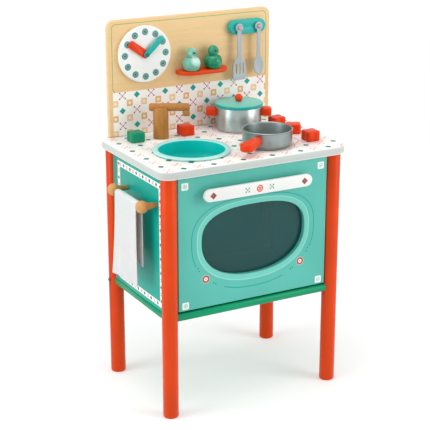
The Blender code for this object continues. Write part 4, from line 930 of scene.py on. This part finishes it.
def dress_vessel(node, colour):
    """Metal turned about the vessel's own middle line, with painted light that makes it a little lighter
    on the inside of its wall.
    """
    low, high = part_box(node)
    centre = ((low.x + high.x) / 2, (low.y + high.y) / 2)
    radius = (high.x - low.x) / 2
    metal = metal_material(node + "_metal", centre, colour, painted_light_radius=radius - 0.0036)
    dress([node], metal, 0.0004)


def dress_all():
    orange = painted("orange_finish", ORANGE, "z", 0.34)
    red = painted("red_finish", RED, "x", 0.36)
    green = painted("green_finish", GREEN, "x")
    base_green = painted("base_green_finish", BASE_GREEN, "x")
    teal = painted("teal_finish", RACK_TEAL, "x")
    grey = painted("grey_finish", GREY, "z", 0.42, 0.1)
    white = painted("white_finish", WHITE, "x")
    honey = varnished("honey_finish", HONEY, HONEY_DARK, "z", 26.0)
    honey_across = varnished("honey_across_finish", HONEY, HONEY_DARK, "x", 26.0)
    rail = varnished("rail_finish", RAIL_HONEY, RAIL_HONEY_DARK, "y", 22.0)
    pine = varnished("pine_finish", PINE, PINE_DARK, "x", 12.0)
    peg = varnished("peg_finish", PEG_PINK, shaded(PEG_PINK, 0.85), "y", 40.0)
    steel = metal_material("steel_finish", (0.0, 0.0), STEEL, 0.3)

    dress(["backboard"], board_material())
    dress(["worktop"], worktop_material(), 0.0008)
    dress(["oven_door"], door_material(), 0.0007)
    dress(["side_panel_left"], side_material("side_print_left", "left"))
    dress(["side_panel_right"], side_material("side_print_right", "right"))
    dress(["back_panel"], teal)
    dress(["base_panel"], base_green, 0.0010)
    legs = ["leg_front_left", "leg_front_right", "leg_back_left", "leg_back_right"]
    dress(legs, orange, 0.0012)
    dress(["leg_bolt_left", "leg_bolt_right"], steel, 0.0003)
    dress(["door_handle_bar"], bar_material(), 0.0009)
    dress(["door_handle_spacer_left", "door_handle_spacer_right"], white)
    dress(["door_catch_block"], pine)
    dress(["door_catch_plate", "door_hinge_pin_left", "door_hinge_pin_right"], steel, 0.0)
    dress(["door_window"], pane_material(), 0.0)

    dress(["tap_post"], honey)
    dress(["tap_arm", "tap_spout"], honey_across)
    dress(["tap_knob_left"], green, 0.0012)
    knobs = ["tap_knob_right", "hob_knob_front", "hob_knob_middle", "hob_knob_back"]
    dress(knobs, red, 0.0012)
    dress(["sink_bowl"], sink_material(), 0.0007)
    spindles = ["tap_spindle_left", "tap_spindle_right"]
    spindles += ["hob_spindle_" + place for place in ("front", "middle", "back")]
    dress(spindles, pine, 0.0)
    dress(["backboard_dowel_left", "backboard_dowel_right"], pine, 0.0)

    dress(["clock_dial"], dial_material())
    dress(["clock_hour_hand"], red)
    dress(["clock_minute_hand"], teal)
    dress(["clock_pin"], painted("pin_finish", INK_DARK_TEAL, "y"), 0.0002)
    dress(["shelf"], painted("shelf_finish", ORANGE, "x"))
    dress(["shaker_mint"], glazed("mint_glaze", MINT, 0.34), 0.0004)
    dress(["shaker_green"], glazed("green_glaze", GLAZE_GREEN, 0.08), 0.0004)
    dress(["utensil_rack"], teal, 0.0008)
    dress(["utensil_peg_left", "utensil_peg_right"], peg, 0.0006)
    dress(["turner", "spoon"], grey, 0.0005)

    dress_vessel("pot_body", METAL)
    dress_vessel("pan_body", shaded(METAL, 0.84))
    dress(["pot_ear_left", "pot_ear_right", "pan_handle"], red, 0.0010)
    dress(["pot_lid"], lid_material(), 0.0006)
    dress(["pot_lid_knob"], red, 0.0006)

    posts = ["towel_rail_post_front", "towel_rail_post_back", "towel_rail_rod"]
    dress(posts, rail, 0.0003)
    make_towel(cloth_material())
    beak = painted("beak_finish", BEAK_BROWN, "x")
    make_beak("shaker_mint", beak)
    make_beak("shaker_green", beak)


def main():
    dress_all()
    make_floor()
    make_world()
    make_lamp("left_softbox", (-2.7, 0.1, 1.1), (0.0, 0.0, 0.35), (1.6, 1.8), 34.0)
    make_lamp("right_softbox", (1.8, -2.1, 1.1), (0.0, 0.0, 0.35), (1.5, 1.8), 34.0)
    make_lamp("top_softbox", (-0.3, -0.2, 2.4), (0.0, 0.0, 0.3), (1.6, 1.6), 18.0)
    make_camera()
    bpy.context.scene.view_settings.view_transform = "Standard"


main()
